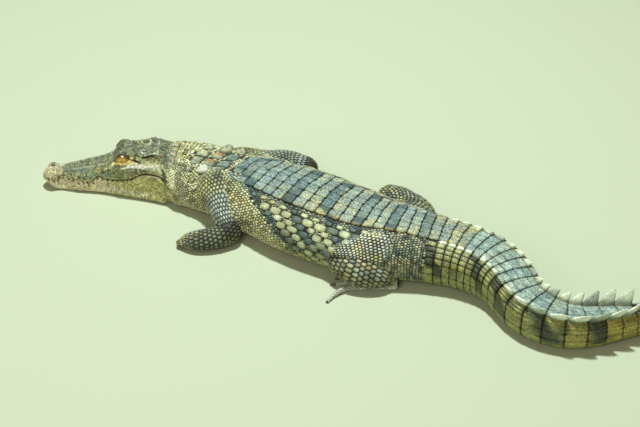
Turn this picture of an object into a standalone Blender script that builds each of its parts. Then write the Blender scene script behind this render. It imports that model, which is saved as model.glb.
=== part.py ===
"""A young Nile crocodile resting flat on its belly, life size, as named solids.

Units are metres, +Z is up and the ground is z = 0.  The animal faces -X, so its left side is -Y.
The origin is on the ground under the middle of the trunk.

The head, neck, trunk and tail are one tube of cross-sections that follows a bent backbone line.
Each station on that line has ten control points from the back's midline (0) down to the belly's
midline (9), and a smooth curve through them makes the section.  The tube is parted by thin cuts.
"""

import math

import bmesh
import bpy
import numpy as np

# ---------------------------------------------------------------- driving dimensions
TOTAL_LENGTH = 1.305  # snout tip to tail tip, along the back
HEAD_LENGTH = 0.190  # snout tip to the rear of the skull table
ORIGIN_STATION = 0.465  # the station that stands over the origin
CUT = 0.0004  # gap between neighbouring solids
EYE_RADIUS = 0.0118
JAW_END = 1.06 * HEAD_LENGTH  # mouth corner, where head and jaw meet the neck
NECK_END = 0.320
TRUNK_END = 0.635
TAIL_CUTS = (0.855, 1.055)
CREST_MERGE = 1.040  # the two tail crests run into one here
CREST_LEAN = math.radians(28)
LIMB_SIDES = 9

# Heading of the backbone line in plan, (station, degrees), tailwards, 0 along +X.
HEADINGS = (
    (0.000, 28), (0.185, 27), (0.220, 18), (0.250, 3), (0.280, -7), (0.305, -9), (0.385, -9), (0.565, 0),
    (0.665, 11), (0.745, -10), (0.825, -43), (0.895, -2), (0.965, 41), (1.035, 46), (1.125, 54),
    (1.205, 51), (1.305, 39),
)

# Body sections: station, half width, height of the back, height of the widest point,
# height of the belly before the ground flattens it, upper and lower roundness.
GIRTHS = (
    (0.190, 0.062, 0.062, 0.026, -0.004, 2.2, 3.0),
    (0.225, 0.069, 0.060, 0.026, -0.005, 2.2, 3.2),
    (0.275, 0.070, 0.065, 0.028, -0.005, 2.1, 2.8),
    (0.325, 0.069, 0.079, 0.033, -0.005, 2.1, 2.5),
    (0.385, 0.074, 0.090, 0.038, -0.006, 2.1, 2.6),
    (0.465, 0.081, 0.095, 0.040, -0.006, 2.1, 2.6),
    (0.545, 0.078, 0.092, 0.040, -0.005, 2.1, 2.6),
    (0.605, 0.066, 0.088, 0.038, -0.004, 2.2, 2.5),
    (0.665, 0.055, 0.083, 0.036, -0.003, 2.4, 2.4),
    (0.745, 0.047, 0.076, 0.033, -0.003, 2.8, 2.4),
    (0.845, 0.036, 0.065, 0.028, -0.002, 3.2, 2.4),
    (0.955, 0.027, 0.051, 0.022, -0.002, 3.2, 2.3),
    (1.040, 0.019, 0.041, 0.018, -0.002, 2.6, 2.2),
    (1.125, 0.013, 0.032, 0.014, -0.001, 2.2, 2.1),
    (1.225, 0.008, 0.021, 0.010, -0.001, 2.0, 2.0),
    (1.305, 0.002, 0.007, 0.004, 0.000, 2.0, 2.0),
)
# Spacing of the rings of scales round the tail.
WHORL_PITCH = ((0.625, 0.0155), (0.745, 0.016), (0.855, 0.021), (0.955, 0.025), (1.035, 0.024),
               (1.155, 0.020), (1.305, 0.014))
# Height of the crest scales over the back, and how far the twin ridges stand from the midline.
CREST_HEIGHT = ((0.625, 0.002), (0.705, 0.005), (0.805, 0.009), (0.905, 0.0155), (0.985, 0.0235),
                (1.055, 0.0285), (1.125, 0.0275), (1.205, 0.020), (1.305, 0.004))

# Head outlines, in head lengths, against the distance u from the snout tip.
LIP_WIDTH = ((0, .016), (.015, .045), (.04, .070), (.08, .082), (.12, .079), (.16, .066), (.20, .068),
             (.26, .094), (.32, .112), (.38, .117), (.45, .121), (.55, .144), (.65, .176), (.75, .200),
             (.85, .216), (.95, .243), (1.06, .275))
MOUTH_HEIGHT = ((0, .118), (.03, .108), (.09, .112), (.13, .114), (.165, .142), (.20, .130),
                (.26, .119), (.38, .103), (.42, .117), (.47, .162), (.49, .164), (.55, .147),
                (.65, .160), (.75, .186), (.83, .234), (.90, .255), (.96, .256), (1.06, .236))
TOP_HEIGHT = ((0, .128), (.02, .156), (.05, .192), (.085, .214), (.12, .208), (.165, .190), (.25, .204),
              (.35, .222), (.45, .242), (.55, .272), (.62, .312), (.67, .345), (.74, .358),
              (.85, .370), (.96, .380), (1.0, .370), (1.06, .345))
EDGE_WIDTH = ((0, .008), (.02, .028), (.06, .045), (.10, .046), (.16, .042), (.25, .054), (.38, .068),
              (.50, .076), (.58, .082), (.64, .093), (.70, .098), (.77, .097), (.85, .104),
              (.96, .121), (1.0, .124), (1.06, .140))
EDGE_HEIGHT = ((0, .126), (.02, .152), (.06, .195), (.10, .205), (.16, .182), (.25, .194), (.38, .217),
               (.50, .246), (.58, .272), (.64, .350), (.68, .393), (.71, .395), (.77, .379),
               (.85, .386), (.96, .392), (1.0, .376), (1.06, .335))
TEMPLE_WIDTH = ((0, .010), (.02, .038), (.06, .066), (.10, .070), (.16, .056), (.25, .078), (.38, .100),
                (.50, .112), (.60, .138), (.67, .164), (.73, .160), (.80, .143), (.90, .142),
                (1.0, .156), (1.06, .180))
TEMPLE_HEIGHT = ((0, .123), (.02, .144), (.06, .169), (.10, .174), (.16, .164), (.25, .165), (.38, .176),
                 (.50, .214), (.60, .262), (.67, .306), (.73, .312), (.80, .328), (.90, .336),
                 (1.0, .322), (1.06, .296))
CHEEK_WIDTH = ((0, .012), (.02, .046), (.06, .078), (.10, .081), (.16, .066), (.25, .093), (.38, .118),
               (.50, .130), (.60, .158), (.70, .186), (.80, .201), (.90, .214), (1.0, .242),
               (1.06, .262))
CHEEK_HEIGHT = ((0, .120), (.02, .130), (.06, .138), (.10, .142), (.16, .154), (.25, .140), (.38, .134),
                (.50, .190), (.60, .202), (.70, .242), (.80, .284), (.90, .304), (1.0, .288),
                (1.06, .262))
LOWER_JAW_INSET = ((0, .004), (.04, .014), (.40, .012), (.50, .004), (.70, .006), (.88, -.002), (1.06, -.016))
JAW_EDGE = ((0, .010), (.04, .042), (.10, .067), (.27, .100), (.48, .129), (.66, .175), (.83, .224),
            (.96, .261), (1.06, .300))  # half width of the jaw's flat underside
CHIN_HEIGHT = ((0, .082), (.02, .068), (.05, .036), (.08, .012), (.11, 0), (1.06, 0))  # how the chin lifts
EYE_CENTRE = (0.690, 0.098, 0.315)  # u, sideways and height, in head lengths
UPPER_TEETH = (.065, .10, .225, .265, .31, .355, .395)  # where the teeth that show stand
TOOTH_LENGTH = 0.0055
TOOTH_RADIUS = 0.0010
GUM_DEPTH = 0.002

# Limb joints: (along x, sideways from the backbone line, height, half width, half height).
# The right elbow and knee stand further out and higher than the left ones.
ARM = {
    "left": (
        ((-0.150, 0.044, 0.052, 0.025, 0.026), (-0.134, 0.060, 0.046, 0.020, 0.022),
         (-0.116, 0.078, 0.033, 0.0170, 0.0185), (-0.102, 0.088, 0.022, 0.0160, 0.0165)),
        ((-0.098, 0.088, 0.0190, 0.0165, 0.0185), (-0.114, 0.110, 0.0165, 0.0172, 0.0165),
         (-0.134, 0.127, 0.0150, 0.0168, 0.0148), (-0.150, 0.135, 0.0112, 0.0138, 0.0108),
         (-0.160, 0.1415, 0.0068, 0.0075, 0.0062)),
        ((-0.1490, 0.1215, 0.0060, 0.0100, 0.0058), (-0.1400, 0.1105, 0.0054, 0.0120, 0.0052),
         (-0.1310, 0.1005, 0.0046, 0.0115, 0.0046))),
    "right": (
        ((-0.150, 0.038, 0.046, 0.024, 0.026), (-0.122, 0.064, 0.044, 0.0200, 0.0205),
         (-0.092, 0.094, 0.041, 0.0170, 0.0180), (-0.068, 0.105, 0.036, 0.0155, 0.0160)),
        ((-0.0620, 0.1070, 0.0320, 0.0160, 0.0170), (-0.0820, 0.1100, 0.0220, 0.0165, 0.0160),
         (-0.1060, 0.1120, 0.0150, 0.0155, 0.0145), (-0.1260, 0.1130, 0.0115, 0.0130, 0.0108)),
        ((-0.1260, 0.1020, 0.0060, 0.0100, 0.0058), (-0.1140, 0.0970, 0.0054, 0.0120, 0.0052),
         (-0.1020, 0.0930, 0.0046, 0.0115, 0.0046))),
}
LEG = {
    "left": (
        ((0.158, 0.018, 0.051, 0.033, 0.030), (0.132, 0.040, 0.051, 0.028, 0.0265),
         (0.106, 0.056, 0.048, 0.0220, 0.0220), (0.092, 0.064, 0.043, 0.0190, 0.0190)),
        ((0.0930, 0.0730, 0.0335, 0.0185, 0.0210), (0.1097, 0.0745, 0.0300, 0.0205, 0.0235),
         (0.1285, 0.0710, 0.0262, 0.0217, 0.0240), (0.1470, 0.0660, 0.0222, 0.0190, 0.0212),
         (0.1620, 0.0620, 0.0135, 0.0110, 0.0120)),
        ((0.1690, 0.0600, 0.0080, 0.0095, 0.0080), (0.1520, 0.0640, 0.0065, 0.0115, 0.0062),
         (0.1300, 0.0700, 0.0056, 0.0130, 0.0054))),
    "right": (
        ((0.165, 0.030, 0.047, 0.034, 0.031), (0.142, 0.068, 0.043, 0.0280, 0.0275),
         (0.112, 0.092, 0.041, 0.0235, 0.0245), (0.092, 0.100, 0.038, 0.0200, 0.0210)),
        ((0.0940, 0.1030, 0.0310, 0.0190, 0.0210), (0.1110, 0.1070, 0.0285, 0.0200, 0.0225),
         (0.1290, 0.1080, 0.0255, 0.0205, 0.0230), (0.1460, 0.1050, 0.0205, 0.0180, 0.0200),
         (0.1600, 0.1020, 0.0135, 0.0115, 0.0120)),
        ((0.1680, 0.1030, 0.0080, 0.0095, 0.0080), (0.1510, 0.1080, 0.0065, 0.0115, 0.0062),
         (0.1290, 0.1130, 0.0056, 0.0130, 0.0054))),
}
# Digits from the thumb or inner toe outwards: where they root across the palm (-1 inner, 1 outer),
# heading at root and tip (degrees from +X, turning outwards), length.
FINGERS = ((-0.9, -62, -70, 0.013), (-0.45, -52, -56, 0.018), (0.0, -42, -42, 0.020),
           (0.45, -32, -28, 0.017), (0.9, -22, -14, 0.013))
TOES = ((-0.75, 174, 176, 0.030), (-0.25, 170, 168, 0.036), (0.25, 165, 150, 0.041),
        (0.75, 156, 90, 0.066))
FINGER_RADIUS = 0.0036
TOE_RADIUS = 0.0048
CLAW_LENGTH = 0.009

SKIN_OLIVE = (0.33, 0.32, 0.17, 1.0)
SKIN_BACK = (0.20, 0.23, 0.20, 1.0)
SKIN_PALE = (0.52, 0.48, 0.25, 1.0)
EYE_AMBER = (0.50, 0.27, 0.05, 1.0)
CLAW_DARK = (0.09, 0.08, 0.06, 1.0)


# ---------------------------------------------------------------- curves and sections
def keyed(x, keys):
    """Monotone cubic curve through (x, value) keys, level where the keys turn."""
    xs, ys = np.array(keys, float).T
    x = np.asarray(x, float)
    step = np.diff(xs)
    slope = np.diff(ys) / step
    tangent = np.zeros(len(xs))
    same_way = slope[:-1] * slope[1:] > 0
    before, after = 2 * step[1:] + step[:-1], step[1:] + 2 * step[:-1]
    with np.errstate(divide="ignore", invalid="ignore"):
        mean = (before + after) / (before / slope[:-1] + after / slope[1:])
    tangent[1:-1] = np.where(same_way, mean, 0.0)
    tangent[0], tangent[-1] = slope[0], slope[-1]
    i = np.clip(np.searchsorted(xs, x, side="right") - 1, 0, len(xs) - 2)
    t = np.clip((x - xs[i]) / step[i], 0, 1)
    rise = (3 - 2 * t) * t * t
    return (ys[i] * (1 - rise) + ys[i + 1] * rise
            + step[i] * (tangent[i] * t * (1 - t) ** 2 - tangent[i + 1] * t * t * (1 - t)))


LINE_STATIONS = np.linspace(0, TOTAL_LENGTH, 2601)
LINE_HEADINGS = np.radians(keyed(LINE_STATIONS, HEADINGS))


def summed(values):
    """Running integral of values along the backbone line, zero at the origin's station."""
    steps = (values[1:] + values[:-1]) / 2 * np.diff(LINE_STATIONS)
    total = np.concatenate([[0], np.cumsum(steps)])
    return total - np.interp(ORIGIN_STATION, LINE_STATIONS, total)


LINE_X, LINE_Y = summed(np.cos(LINE_HEADINGS)), summed(np.sin(LINE_HEADINGS))


def placed(stations, side, height):
    """World points for offsets to the animal's left (side) and up (height) at each station."""
    heading = np.interp(stations, LINE_STATIONS, LINE_HEADINGS)
    x = np.interp(stations, LINE_STATIONS, LINE_X) + np.sin(heading) * side
    y = np.interp(stations, LINE_STATIONS, LINE_Y) - np.cos(heading) * side
    return np.stack([x, y, height + 0 * x], -1)


def body_controls(stations):
    """Ten control points of each body section, from a rounded superellipse."""
    table = np.array(GIRTHS)
    width, back, middle, belly, upper, lower = (
        keyed(stations, table[:, (0, column)])[..., None] for column in range(1, 7))
    angle = np.radians(20 * np.arange(10))
    over = np.cos(angle) >= 0
    power = 2 / np.where(over, upper, lower)
    side = width * np.abs(np.sin(angle)) ** power
    reach = np.abs(np.cos(angle)) ** power
    height = middle + np.where(over, (back - middle) * reach, (belly - middle) * reach)
    return np.stack([side, height], -1)


def head_controls(stations):
    """Ten control points of each head section: crown, brow, temple, cheek, lips, jaw, throat."""
    u = np.asarray(stations) / HEAD_LENGTH
    lip, mouth, top = keyed(u, LIP_WIDTH), keyed(u, MOUTH_HEIGHT), keyed(u, TOP_HEIGHT)
    edge, edge_up = keyed(u, EDGE_WIDTH), keyed(u, EDGE_HEIGHT)
    lower = lip - keyed(u, LOWER_JAW_INSET)
    chin = keyed(u, CHIN_HEIGHT)
    points = (
        (0 * u, top),
        (0.5 * edge, top + 0.45 * (edge_up - top)),
        (edge, edge_up),
        (keyed(u, TEMPLE_WIDTH), keyed(u, TEMPLE_HEIGHT)),
        (keyed(u, CHEEK_WIDTH), keyed(u, CHEEK_HEIGHT)),
        (lip, mouth + 0.006),
        (lower, mouth - 0.014),
        (0.5 * lower + 0.5 * keyed(u, JAW_EDGE) + 0.006, 0.45 * mouth + 0.4 * chin),
        (keyed(u, JAW_EDGE), 0.012 + chin),
        (0 * u, -0.014 + chin),
    )
    return HEAD_LENGTH * np.stack([np.stack(p, -1) for p in points], -2)


def controls(stations):
    """Head sections run into body sections over the back of the skull."""
    stations = np.asarray(stations, float)
    start, end = 1.0 * HEAD_LENGTH, 1.22 * HEAD_LENGTH
    t = np.clip((stations - start) / (end - start), 0, 1)[..., None, None]
    blend = t * t * (3 - 2 * t)
    head = head_controls(np.minimum(stations, JAW_END))
    body = body_controls(np.maximum(stations, HEAD_LENGTH))
    return head * (1 - blend) + body * blend


def section_point(stations, t):
    """Catmull-Rom curve through the ten control points at parameter t, 0 at the back, 9 at the belly."""
    points = controls(stations)
    mirror = np.array([-1.0, 1.0])
    points = np.concatenate([points[..., 1:2, :] * mirror, points, points[..., 8:9, :] * mirror], -2)
    i = min(int(t), 8)
    f = t - i
    p0, p1, p2, p3 = (points[..., i + k, :] for k in range(4))
    return 0.5 * (2 * p1 + (p2 - p0) * f + (2 * p0 - 5 * p1 + 4 * p2 - p3) * f ** 2
                  + (3 * p1 - p0 - 3 * p2 + p3) * f ** 3)


# ---------------------------------------------------------------- mesh tools
def remove_everything():
    for obj in list(bpy.data.objects):
        bpy.data.objects.remove(obj, do_unlink=True)


def material(name, colour, roughness):
    made = bpy.data.materials.new(name)
    made.use_nodes = True
    shader = made.node_tree.nodes["Principled BSDF"]
    shader.inputs["Base Color"].default_value = colour
    shader.inputs["Roughness"].default_value = roughness
    shader.inputs["Metallic"].default_value = 0.0
    made.diffuse_color = colour
    return made


def solid(name, vertices, faces, finish):
    """One closed mesh object with its faces pointing out."""
    mesh = bpy.data.meshes.new(name)
    mesh.from_pydata([tuple(v) for v in vertices], [], faces)
    shape = bmesh.new()
    shape.from_mesh(mesh)
    bmesh.ops.remove_doubles(shape, verts=shape.verts, dist=1e-6)
    bmesh.ops.recalc_face_normals(shape, faces=shape.faces)
    shape.to_mesh(mesh)
    shape.free()
    mesh.shade_smooth()
    mesh.set_sharp_from_angle(angle=math.radians(50))
    obj = bpy.data.objects.new(name, mesh)
    obj.data.materials.append(finish)
    bpy.context.scene.collection.objects.link(obj)
    return obj


def lofted(name, rings, finish):
    """Closes rings of equal count into a skin with a fan of triangles over each end."""
    rings = np.array(rings)
    rings[..., 2] = np.maximum(rings[..., 2], 0.0)
    count, around = rings.shape[:2]
    vertices = np.concatenate([rings.reshape(-1, 3), rings[:1].mean(1), rings[-1:].mean(1)])
    faces = []
    for ring in range(count - 1):
        for k in range(around):
            a, b = ring * around + k, ring * around + (k + 1) % around
            faces.append((a, b, b + around, a + around))
    first, last = count * around, count * around + 1
    for k in range(around):
        faces.append((first, (k + 1) % around, k))
        faces.append((last, (count - 1) * around + k, (count - 1) * around + (k + 1) % around))
    return solid(name, vertices, faces, finish)


def boolean(target, operand, operation):
    """Applies an exact Boolean with a helper object, then removes the helper."""
    modifier = target.modifiers.new(operation.lower(), "BOOLEAN")
    modifier.operation = operation
    modifier.object = operand
    modifier.solver = "EXACT"
    graph = bpy.context.evaluated_depsgraph_get()
    mesh = bpy.data.meshes.new_from_object(target.evaluated_get(graph))
    target.modifiers.clear()
    target.data = mesh
    bpy.data.objects.remove(operand, do_unlink=True)
    keep_largest(mesh)


def keep_largest(mesh):
    """Drops the slivers a cut leaves loose, so that one body stays."""
    shape = bmesh.new()
    shape.from_mesh(mesh)
    left = set(shape.verts)
    islands = []
    while left:
        seed = left.pop()
        island, front = {seed}, [seed]
        while front:
            vertex = front.pop()
            for edge in vertex.link_edges:
                other = edge.other_vert(vertex)
                if other in left:
                    left.discard(other)
                    island.add(other)
                    front.append(other)
        islands.append(island)
    islands.sort(key=len)
    for island in islands[:-1]:
        bmesh.ops.delete(shape, geom=list(island), context="VERTS")
    bmesh.ops.remove_doubles(shape, verts=shape.verts, dist=1e-6)
    shape.to_mesh(mesh)
    shape.free()


# ---------------------------------------------------------------- head, neck, trunk and tail
def whorl_count(stations):
    """How many rings of tail scales lie between the tail's root and each station."""
    line = np.linspace(TRUNK_END - 0.04, TOTAL_LENGTH, 1500)
    rate = 1 / keyed(line, WHORL_PITCH)
    count = np.concatenate([[0], np.cumsum((rate[1:] + rate[:-1]) / 2 * np.diff(line))])
    count -= np.interp(TRUNK_END, line, count)
    return np.interp(stations, line, count), line, count


def crest_ridge(stations):
    """Extra height of the crest at each station: every whorl rises slowly and drops at its rear."""
    phase = np.mod(whorl_count(stations)[0] + 1e-6, 1.0)
    tooth = np.interp(phase, (0.0, 0.55, 0.88, 1.0), (0.15, 0.75, 1.0, 0.15))
    return keyed(stations, CREST_HEIGHT) * tooth


def body_rings(stations, side_points, crest=False):
    """Full rings of the body tube at these stations, with the tail's crest where asked."""
    side_ts = [9 * k / side_points for k in range(side_points + 1)]
    half = np.stack([section_point(stations, t) for t in side_ts], 1)
    if crest:
        single = np.clip((stations - CREST_MERGE + 0.03) / 0.03, 0, 1)
        rise = crest_ridge(stations)
        half[:, 1, 0] += rise * math.sin(CREST_LEAN) * (1 - single)
        half[:, 1, 1] += rise * math.cos(CREST_LEAN) * (1 - single)
        half[:, 0, 1] += rise * single
    left = placed(stations[:, None], half[..., 0], half[..., 1])
    right = placed(stations[:, None], -half[:, -2:0:-1, 0], half[:, -2:0:-1, 1])
    return np.concatenate([left, right], 1)


def body_piece(name, start, end, step, finish):
    count = max(2, round((end - start) / step))
    stations = np.linspace(start + CUT / 2, end - CUT / 2, count + 1)
    return lofted(name, body_rings(stations, 10), finish)


def tail_piece(name, start, end, side_points, marks, finish):
    """A length of tail with a ring at each mark of every whorl: the crest's foot, slope and tip."""
    _, line, count = whorl_count(np.zeros(1))
    marks = np.sort((np.arange(0, count[-1])[:, None] + np.array(marks)).ravel())
    marks = np.interp(marks, count, line)
    inside = marks[(marks > start + 0.003) & (marks < end - 0.003)]
    stations = np.concatenate([[start + CUT / 2], inside, [end - CUT / 2]])
    return lofted(name, body_rings(stations, side_points, crest=True), finish)


HEAD_STATIONS = HEAD_LENGTH * np.array(
    (0, .015, .04, .07, .10, .13, .16, .19, .25, .31, .37, .42, .47, .51, .56, .61, .65, .69, .73,
     .78, .84, .90, .98, 1.06))


def jaw_rings(upper):
    """Rings of the cranium or the lower jaw, closed across the mouth by a flat palate."""
    stations = HEAD_STATIONS.copy()
    stations[-1] -= CUT / 2
    side_ts = (0, 1, 2, 2.5, 3, 3.6, 4.2, 5) if upper else (6, 6.6, 7.2, 8, 9)
    half = np.stack([section_point(stations, t) for t in side_ts], 1)
    mouth = HEAD_LENGTH * keyed(stations / HEAD_LENGTH, MOUTH_HEIGHT)
    shift = CUT if upper else -CUT
    lip = half[:, -1 if upper else 0].copy()
    lip[:, 1] = mouth + shift
    lip[:, 0] -= 0.0004
    half = np.concatenate([half, lip[:, None]] if upper else [lip[:, None], half], 1)
    limit = np.maximum if upper else np.minimum
    half[..., 1] = limit(half[..., 1], (mouth + shift)[:, None])
    left = placed(stations[:, None], half[..., 0], half[..., 1])
    inner = half[:, -1:0:-1] if upper else half[:, -2::-1]
    right = placed(stations[:, None], -inner[..., 0], inner[..., 1])
    return np.concatenate([left, right], 1)


def tooth(foot, tip, sides=4):
    """A small cone whose foot is sunk in the gum."""
    axis = tip - foot
    axis /= np.linalg.norm(axis)
    across = np.cross(axis, (1.0, 0.0, 0.0))
    across /= np.linalg.norm(across)
    turn = np.arange(sides) * math.tau / sides
    ring = foot + TOOTH_RADIUS * (np.cos(turn)[:, None] * across
                                  + np.sin(turn)[:, None] * np.cross(axis, across))
    return np.concatenate([ring, [foot, tip]])


def teeth(name, finish):
    """Both rows of upper teeth as loose cones, to be joined to the head."""
    vertices, faces = [], []
    u = np.array(UPPER_TEETH)
    lip = HEAD_LENGTH * keyed(u, LIP_WIDTH)
    root = HEAD_LENGTH * keyed(u, MOUTH_HEIGHT) + GUM_DEPTH
    for side in (1, -1):
        feet = placed(u * HEAD_LENGTH, side * (lip - TOOTH_RADIUS / 2), root)
        tips = feet - (0, 0, TOOTH_LENGTH)
        for foot, tip in zip(feet, tips):
            base = len(vertices)
            points = tooth(foot, tip)
            vertices.extend(points)
            count = len(points) - 2
            for j in range(count):
                following = base + (j + 1) % count
                faces.append((base + j, following, base + count))
                faces.append((following, base + j, base + count + 1))
    return solid(name, vertices, faces, finish)


def make_head(skin, pale):
    head = lofted("head", jaw_rings(True), skin)
    boolean(head, teeth("upper_teeth", pale), "UNION")
    for side in (1, -1):
        socket = eyeball("socket", side, EYE_RADIUS + CUT, skin)
        boolean(head, socket, "DIFFERENCE")
    lofted("lower_jaw", jaw_rings(False), pale)


def eyeball(name, side, radius, finish):
    u, across, height = (HEAD_LENGTH * value for value in EYE_CENTRE)
    centre = placed(np.array([u]), np.array([side * across]), np.array([height]))[0]
    shape = bmesh.new()
    bmesh.ops.create_uvsphere(shape, u_segments=12, v_segments=8, radius=radius)
    bmesh.ops.translate(shape, verts=shape.verts, vec=centre)
    mesh = bpy.data.meshes.new(name)
    shape.to_mesh(mesh)
    shape.free()
    mesh.shade_smooth()
    mesh.materials.append(finish)
    obj = bpy.data.objects.new(name, mesh)
    bpy.context.scene.collection.objects.link(obj)
    return obj


# ---------------------------------------------------------------- limbs
def midline_y(x):
    return np.interp(x, LINE_X, LINE_Y)


def limb_point(row, side):
    """World point of a limb row; sideways is measured from the backbone line."""
    return np.array([row[0], midline_y(row[0]) - side * row[1], row[2]])


def tube_rings(centres, widths, heights, steps, grow=0.0, sides=LIMB_SIDES):
    """Elliptical rings along a smooth path, with rounded ends; each ring stands across the path."""
    centres, widths, heights = (np.asarray(a, float) for a in (centres, widths, heights))
    along = np.concatenate([[0], np.cumsum(np.linalg.norm(np.diff(centres, axis=0), axis=1))])
    at = np.linspace(0, along[-1], steps + 1)
    path = np.stack([keyed(at, np.stack([along, centres[:, k]], 1)) for k in range(3)], 1)
    width = keyed(at, np.stack([along, widths], 1)) + grow
    height = keyed(at, np.stack([along, heights], 1)) + grow
    tangent = np.gradient(path, at, axis=0)
    tangent /= np.linalg.norm(tangent, axis=1)[:, None]
    caps = np.radians((22, 58) if sides == LIMB_SIDES else (40,))
    first = [(path[0] - tangent[0] * width[0] * math.cos(c), math.sin(c), 0) for c in caps]
    last = [(path[-1] + tangent[-1] * width[-1] * math.cos(c), math.sin(c), -1) for c in caps[::-1]]
    rows = first + [(path[i], 1.0, i) for i in range(steps + 1)] + last
    turn = np.arange(sides) * math.tau / sides
    rings = []
    for centre, share, i in rows:
        across = np.cross((0, 0, 1), tangent[i])
        across /= np.linalg.norm(across)
        up = np.cross(tangent[i], across)
        rings.append(centre + share * (width[i] * np.cos(turn)[:, None] * across
                                       + height[i] * np.sin(turn)[:, None] * up))
    return rings


def limb_length(name, rows, side, finish, grow=0.0, steps=6):
    points = [limb_point(row, side) for row in rows]
    return lofted(name, tube_rings(points, [r[3] for r in rows], [r[4] for r in rows], steps, grow), finish)


def digit_path(root, headings, length, radius):
    """Centres, radii and end direction of a finger or toe that bends in plan and thins to its tip."""
    share = np.linspace(0, 1, 7)
    turning = np.radians(headings[0] + (headings[1] - headings[0]) * share)
    steps = np.stack([np.cos(turning), np.sin(turning), 0 * turning], 1) * length / 6
    centres = root + np.concatenate([np.zeros((1, 3)), np.cumsum((steps[1:] + steps[:-1]) / 2, 0)])
    radii = radius * np.interp(share, (0, 0.3, 0.7, 1), (1.0, 0.95, 0.80, 0.58))
    centres[:, 2] = radii * 0.9 + 0.0012 * np.sin(share * math.pi)
    return centres, radii, steps[-1] / np.linalg.norm(steps[-1])


def claw(name, tip, direction, radius, finish, grow):
    """A curved cone that starts just clear of the toe's blunt end."""
    reach = np.array((0.0, 0.55, 1.0))
    centres = tip + reach[:, None] * CLAW_LENGTH * direction
    centres[:, 2] = radius + np.array((0.0012, 0.0012, -0.0004))
    radii = radius * np.array((1.0, 0.72, 0.16)) + grow
    across = np.array([-direction[1], direction[0], 0.0])
    turn = np.arange(5) * math.tau / 5
    ring = 0.8 * np.cos(turn)[:, None] * across + np.sin(turn)[:, None] * np.array([0.0, 0.0, 1.0])
    return lofted(name, [centre + r * ring for centre, r in zip(centres, radii)], finish)


def extremity(name, claw_name, rows, digits, radius, side, skin, horn, grow=0.0):
    """A hand or foot with its digits joined on; a cutter (grow above 0) has its claws joined too."""
    palm = limb_length(name, rows, side, skin, grow, steps=3)
    end, start = limb_point(rows[-1], side), limb_point(rows[-2], side)
    forward = (end - start) * (1, 1, 0)
    forward /= np.linalg.norm(forward)
    outward = np.array([forward[1], -forward[0], 0.0])
    outward *= math.copysign(1, -side * outward[1])
    for k, (place, heading, tip_heading, length) in enumerate(digits):
        root = end * (1, 1, 0) + outward * place * rows[-1][3] * 0.8
        centres, radii, direction = digit_path(root, (-side * heading, -side * tip_heading), length, radius)
        boolean(palm, lofted("digit", tube_rings(centres, radii, radii * 0.92, 3, grow, 5), skin), "UNION")
        if k < 3:
            tip = centres[-1] + direction * (radii[-1] + CUT - grow)
            nail = claw(f"{claw_name}_{k + 1}", tip, direction, radii[-1] * 0.8, horn, grow)
            if grow:
                boolean(palm, nail, "UNION")
    return palm


def make_limb(names, tables, digits, radius, side, skin, horn, body):
    """Upper length, lower length and extremity of one limb, each cut clear of what it grows from."""
    upper_name, lower_name, end_name, claw_name = names
    upper_rows, lower_rows, end_rows = tables
    end = extremity(end_name, claw_name, end_rows, digits, radius, side, skin, horn)
    boolean(end, body(), "DIFFERENCE")
    lower = limb_length(lower_name, lower_rows, side, skin)
    boolean(lower, body(), "DIFFERENCE")
    boolean(lower, extremity("cutter", "", end_rows, digits, radius, side, skin, horn, CUT), "DIFFERENCE")
    upper = limb_length(upper_name, upper_rows, side, skin)
    boolean(upper, body(), "DIFFERENCE")
    boolean(upper, limb_length("cutter", lower_rows, side, skin, CUT), "DIFFERENCE")


def grown_body(start, end):
    """The trunk or neck, slightly fatter, as a cutter for the limbs."""
    def make():
        stations = np.linspace(start, end, 26)
        rings = body_rings(stations, 10)
        centre = rings.mean(1, keepdims=True)
        offset = rings - centre
        length = np.linalg.norm(offset, axis=2, keepdims=True)
        rings = centre + offset * (1 + 2.2 * CUT / length)
        cutter = lofted("cutter", rings, bpy.data.materials[0])
        for vertex in cutter.data.vertices:
            if vertex.co.z < 1e-5:
                vertex.co.z = -0.01
        return cutter
    return make


def main():
    remove_everything()
    olive = material("olive_scales", SKIN_OLIVE, 0.62)
    back = material("back_scales", SKIN_BACK, 0.60)
    pale = material("jaw_and_belly_scales", SKIN_PALE, 0.58)
    amber = material("amber_eye", EYE_AMBER, 0.10)
    horn = material("claw_horn", CLAW_DARK, 0.35)
    make_head(olive, pale)
    for side, word in ((1, "left"), (-1, "right")):
        eyeball(f"eye_{word}", side, EYE_RADIUS, amber)
    body_piece("neck", JAW_END, NECK_END, 0.014, olive)
    body_piece("trunk", NECK_END, TRUNK_END, 0.024, back)
    tail_piece("tail_base", TRUNK_END, TAIL_CUTS[0], 6, (0.0, 0.88), back)
    tail_piece("tail_middle", TAIL_CUTS[0], TAIL_CUTS[1], 6, (0.0, 0.55, 0.88), back)
    tail_piece("tail_end", TAIL_CUTS[1], TOTAL_LENGTH, 5, (0.0, 0.55, 0.88), back)
    body = grown_body(JAW_END - 0.004, 0.805)
    for side, word in ((1, "left"), (-1, "right")):
        names = (f"upper_arm_{word}", f"forearm_{word}", f"hand_{word}", f"claw_hand_{word}")
        make_limb(names, ARM[word], FINGERS, FINGER_RADIUS, side, olive, horn, body)
        names = (f"thigh_{word}", f"shank_{word}", f"foot_{word}", f"claw_foot_{word}")
        make_limb(names, LEG[word], TOES, TOE_RADIUS, side, olive, horn, body)


main()
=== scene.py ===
"""A young Nile crocodile at rest, life size: hide, scales, eyes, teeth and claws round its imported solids.

Metres, +Z up, ground at z = 0.  The animal faces -X, its left side is -Y.  Every station is a distance
along the back from the snout tip; t runs round a body section from the back (0) to the belly (9),
negative on the animal's right.
"""

import math

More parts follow.
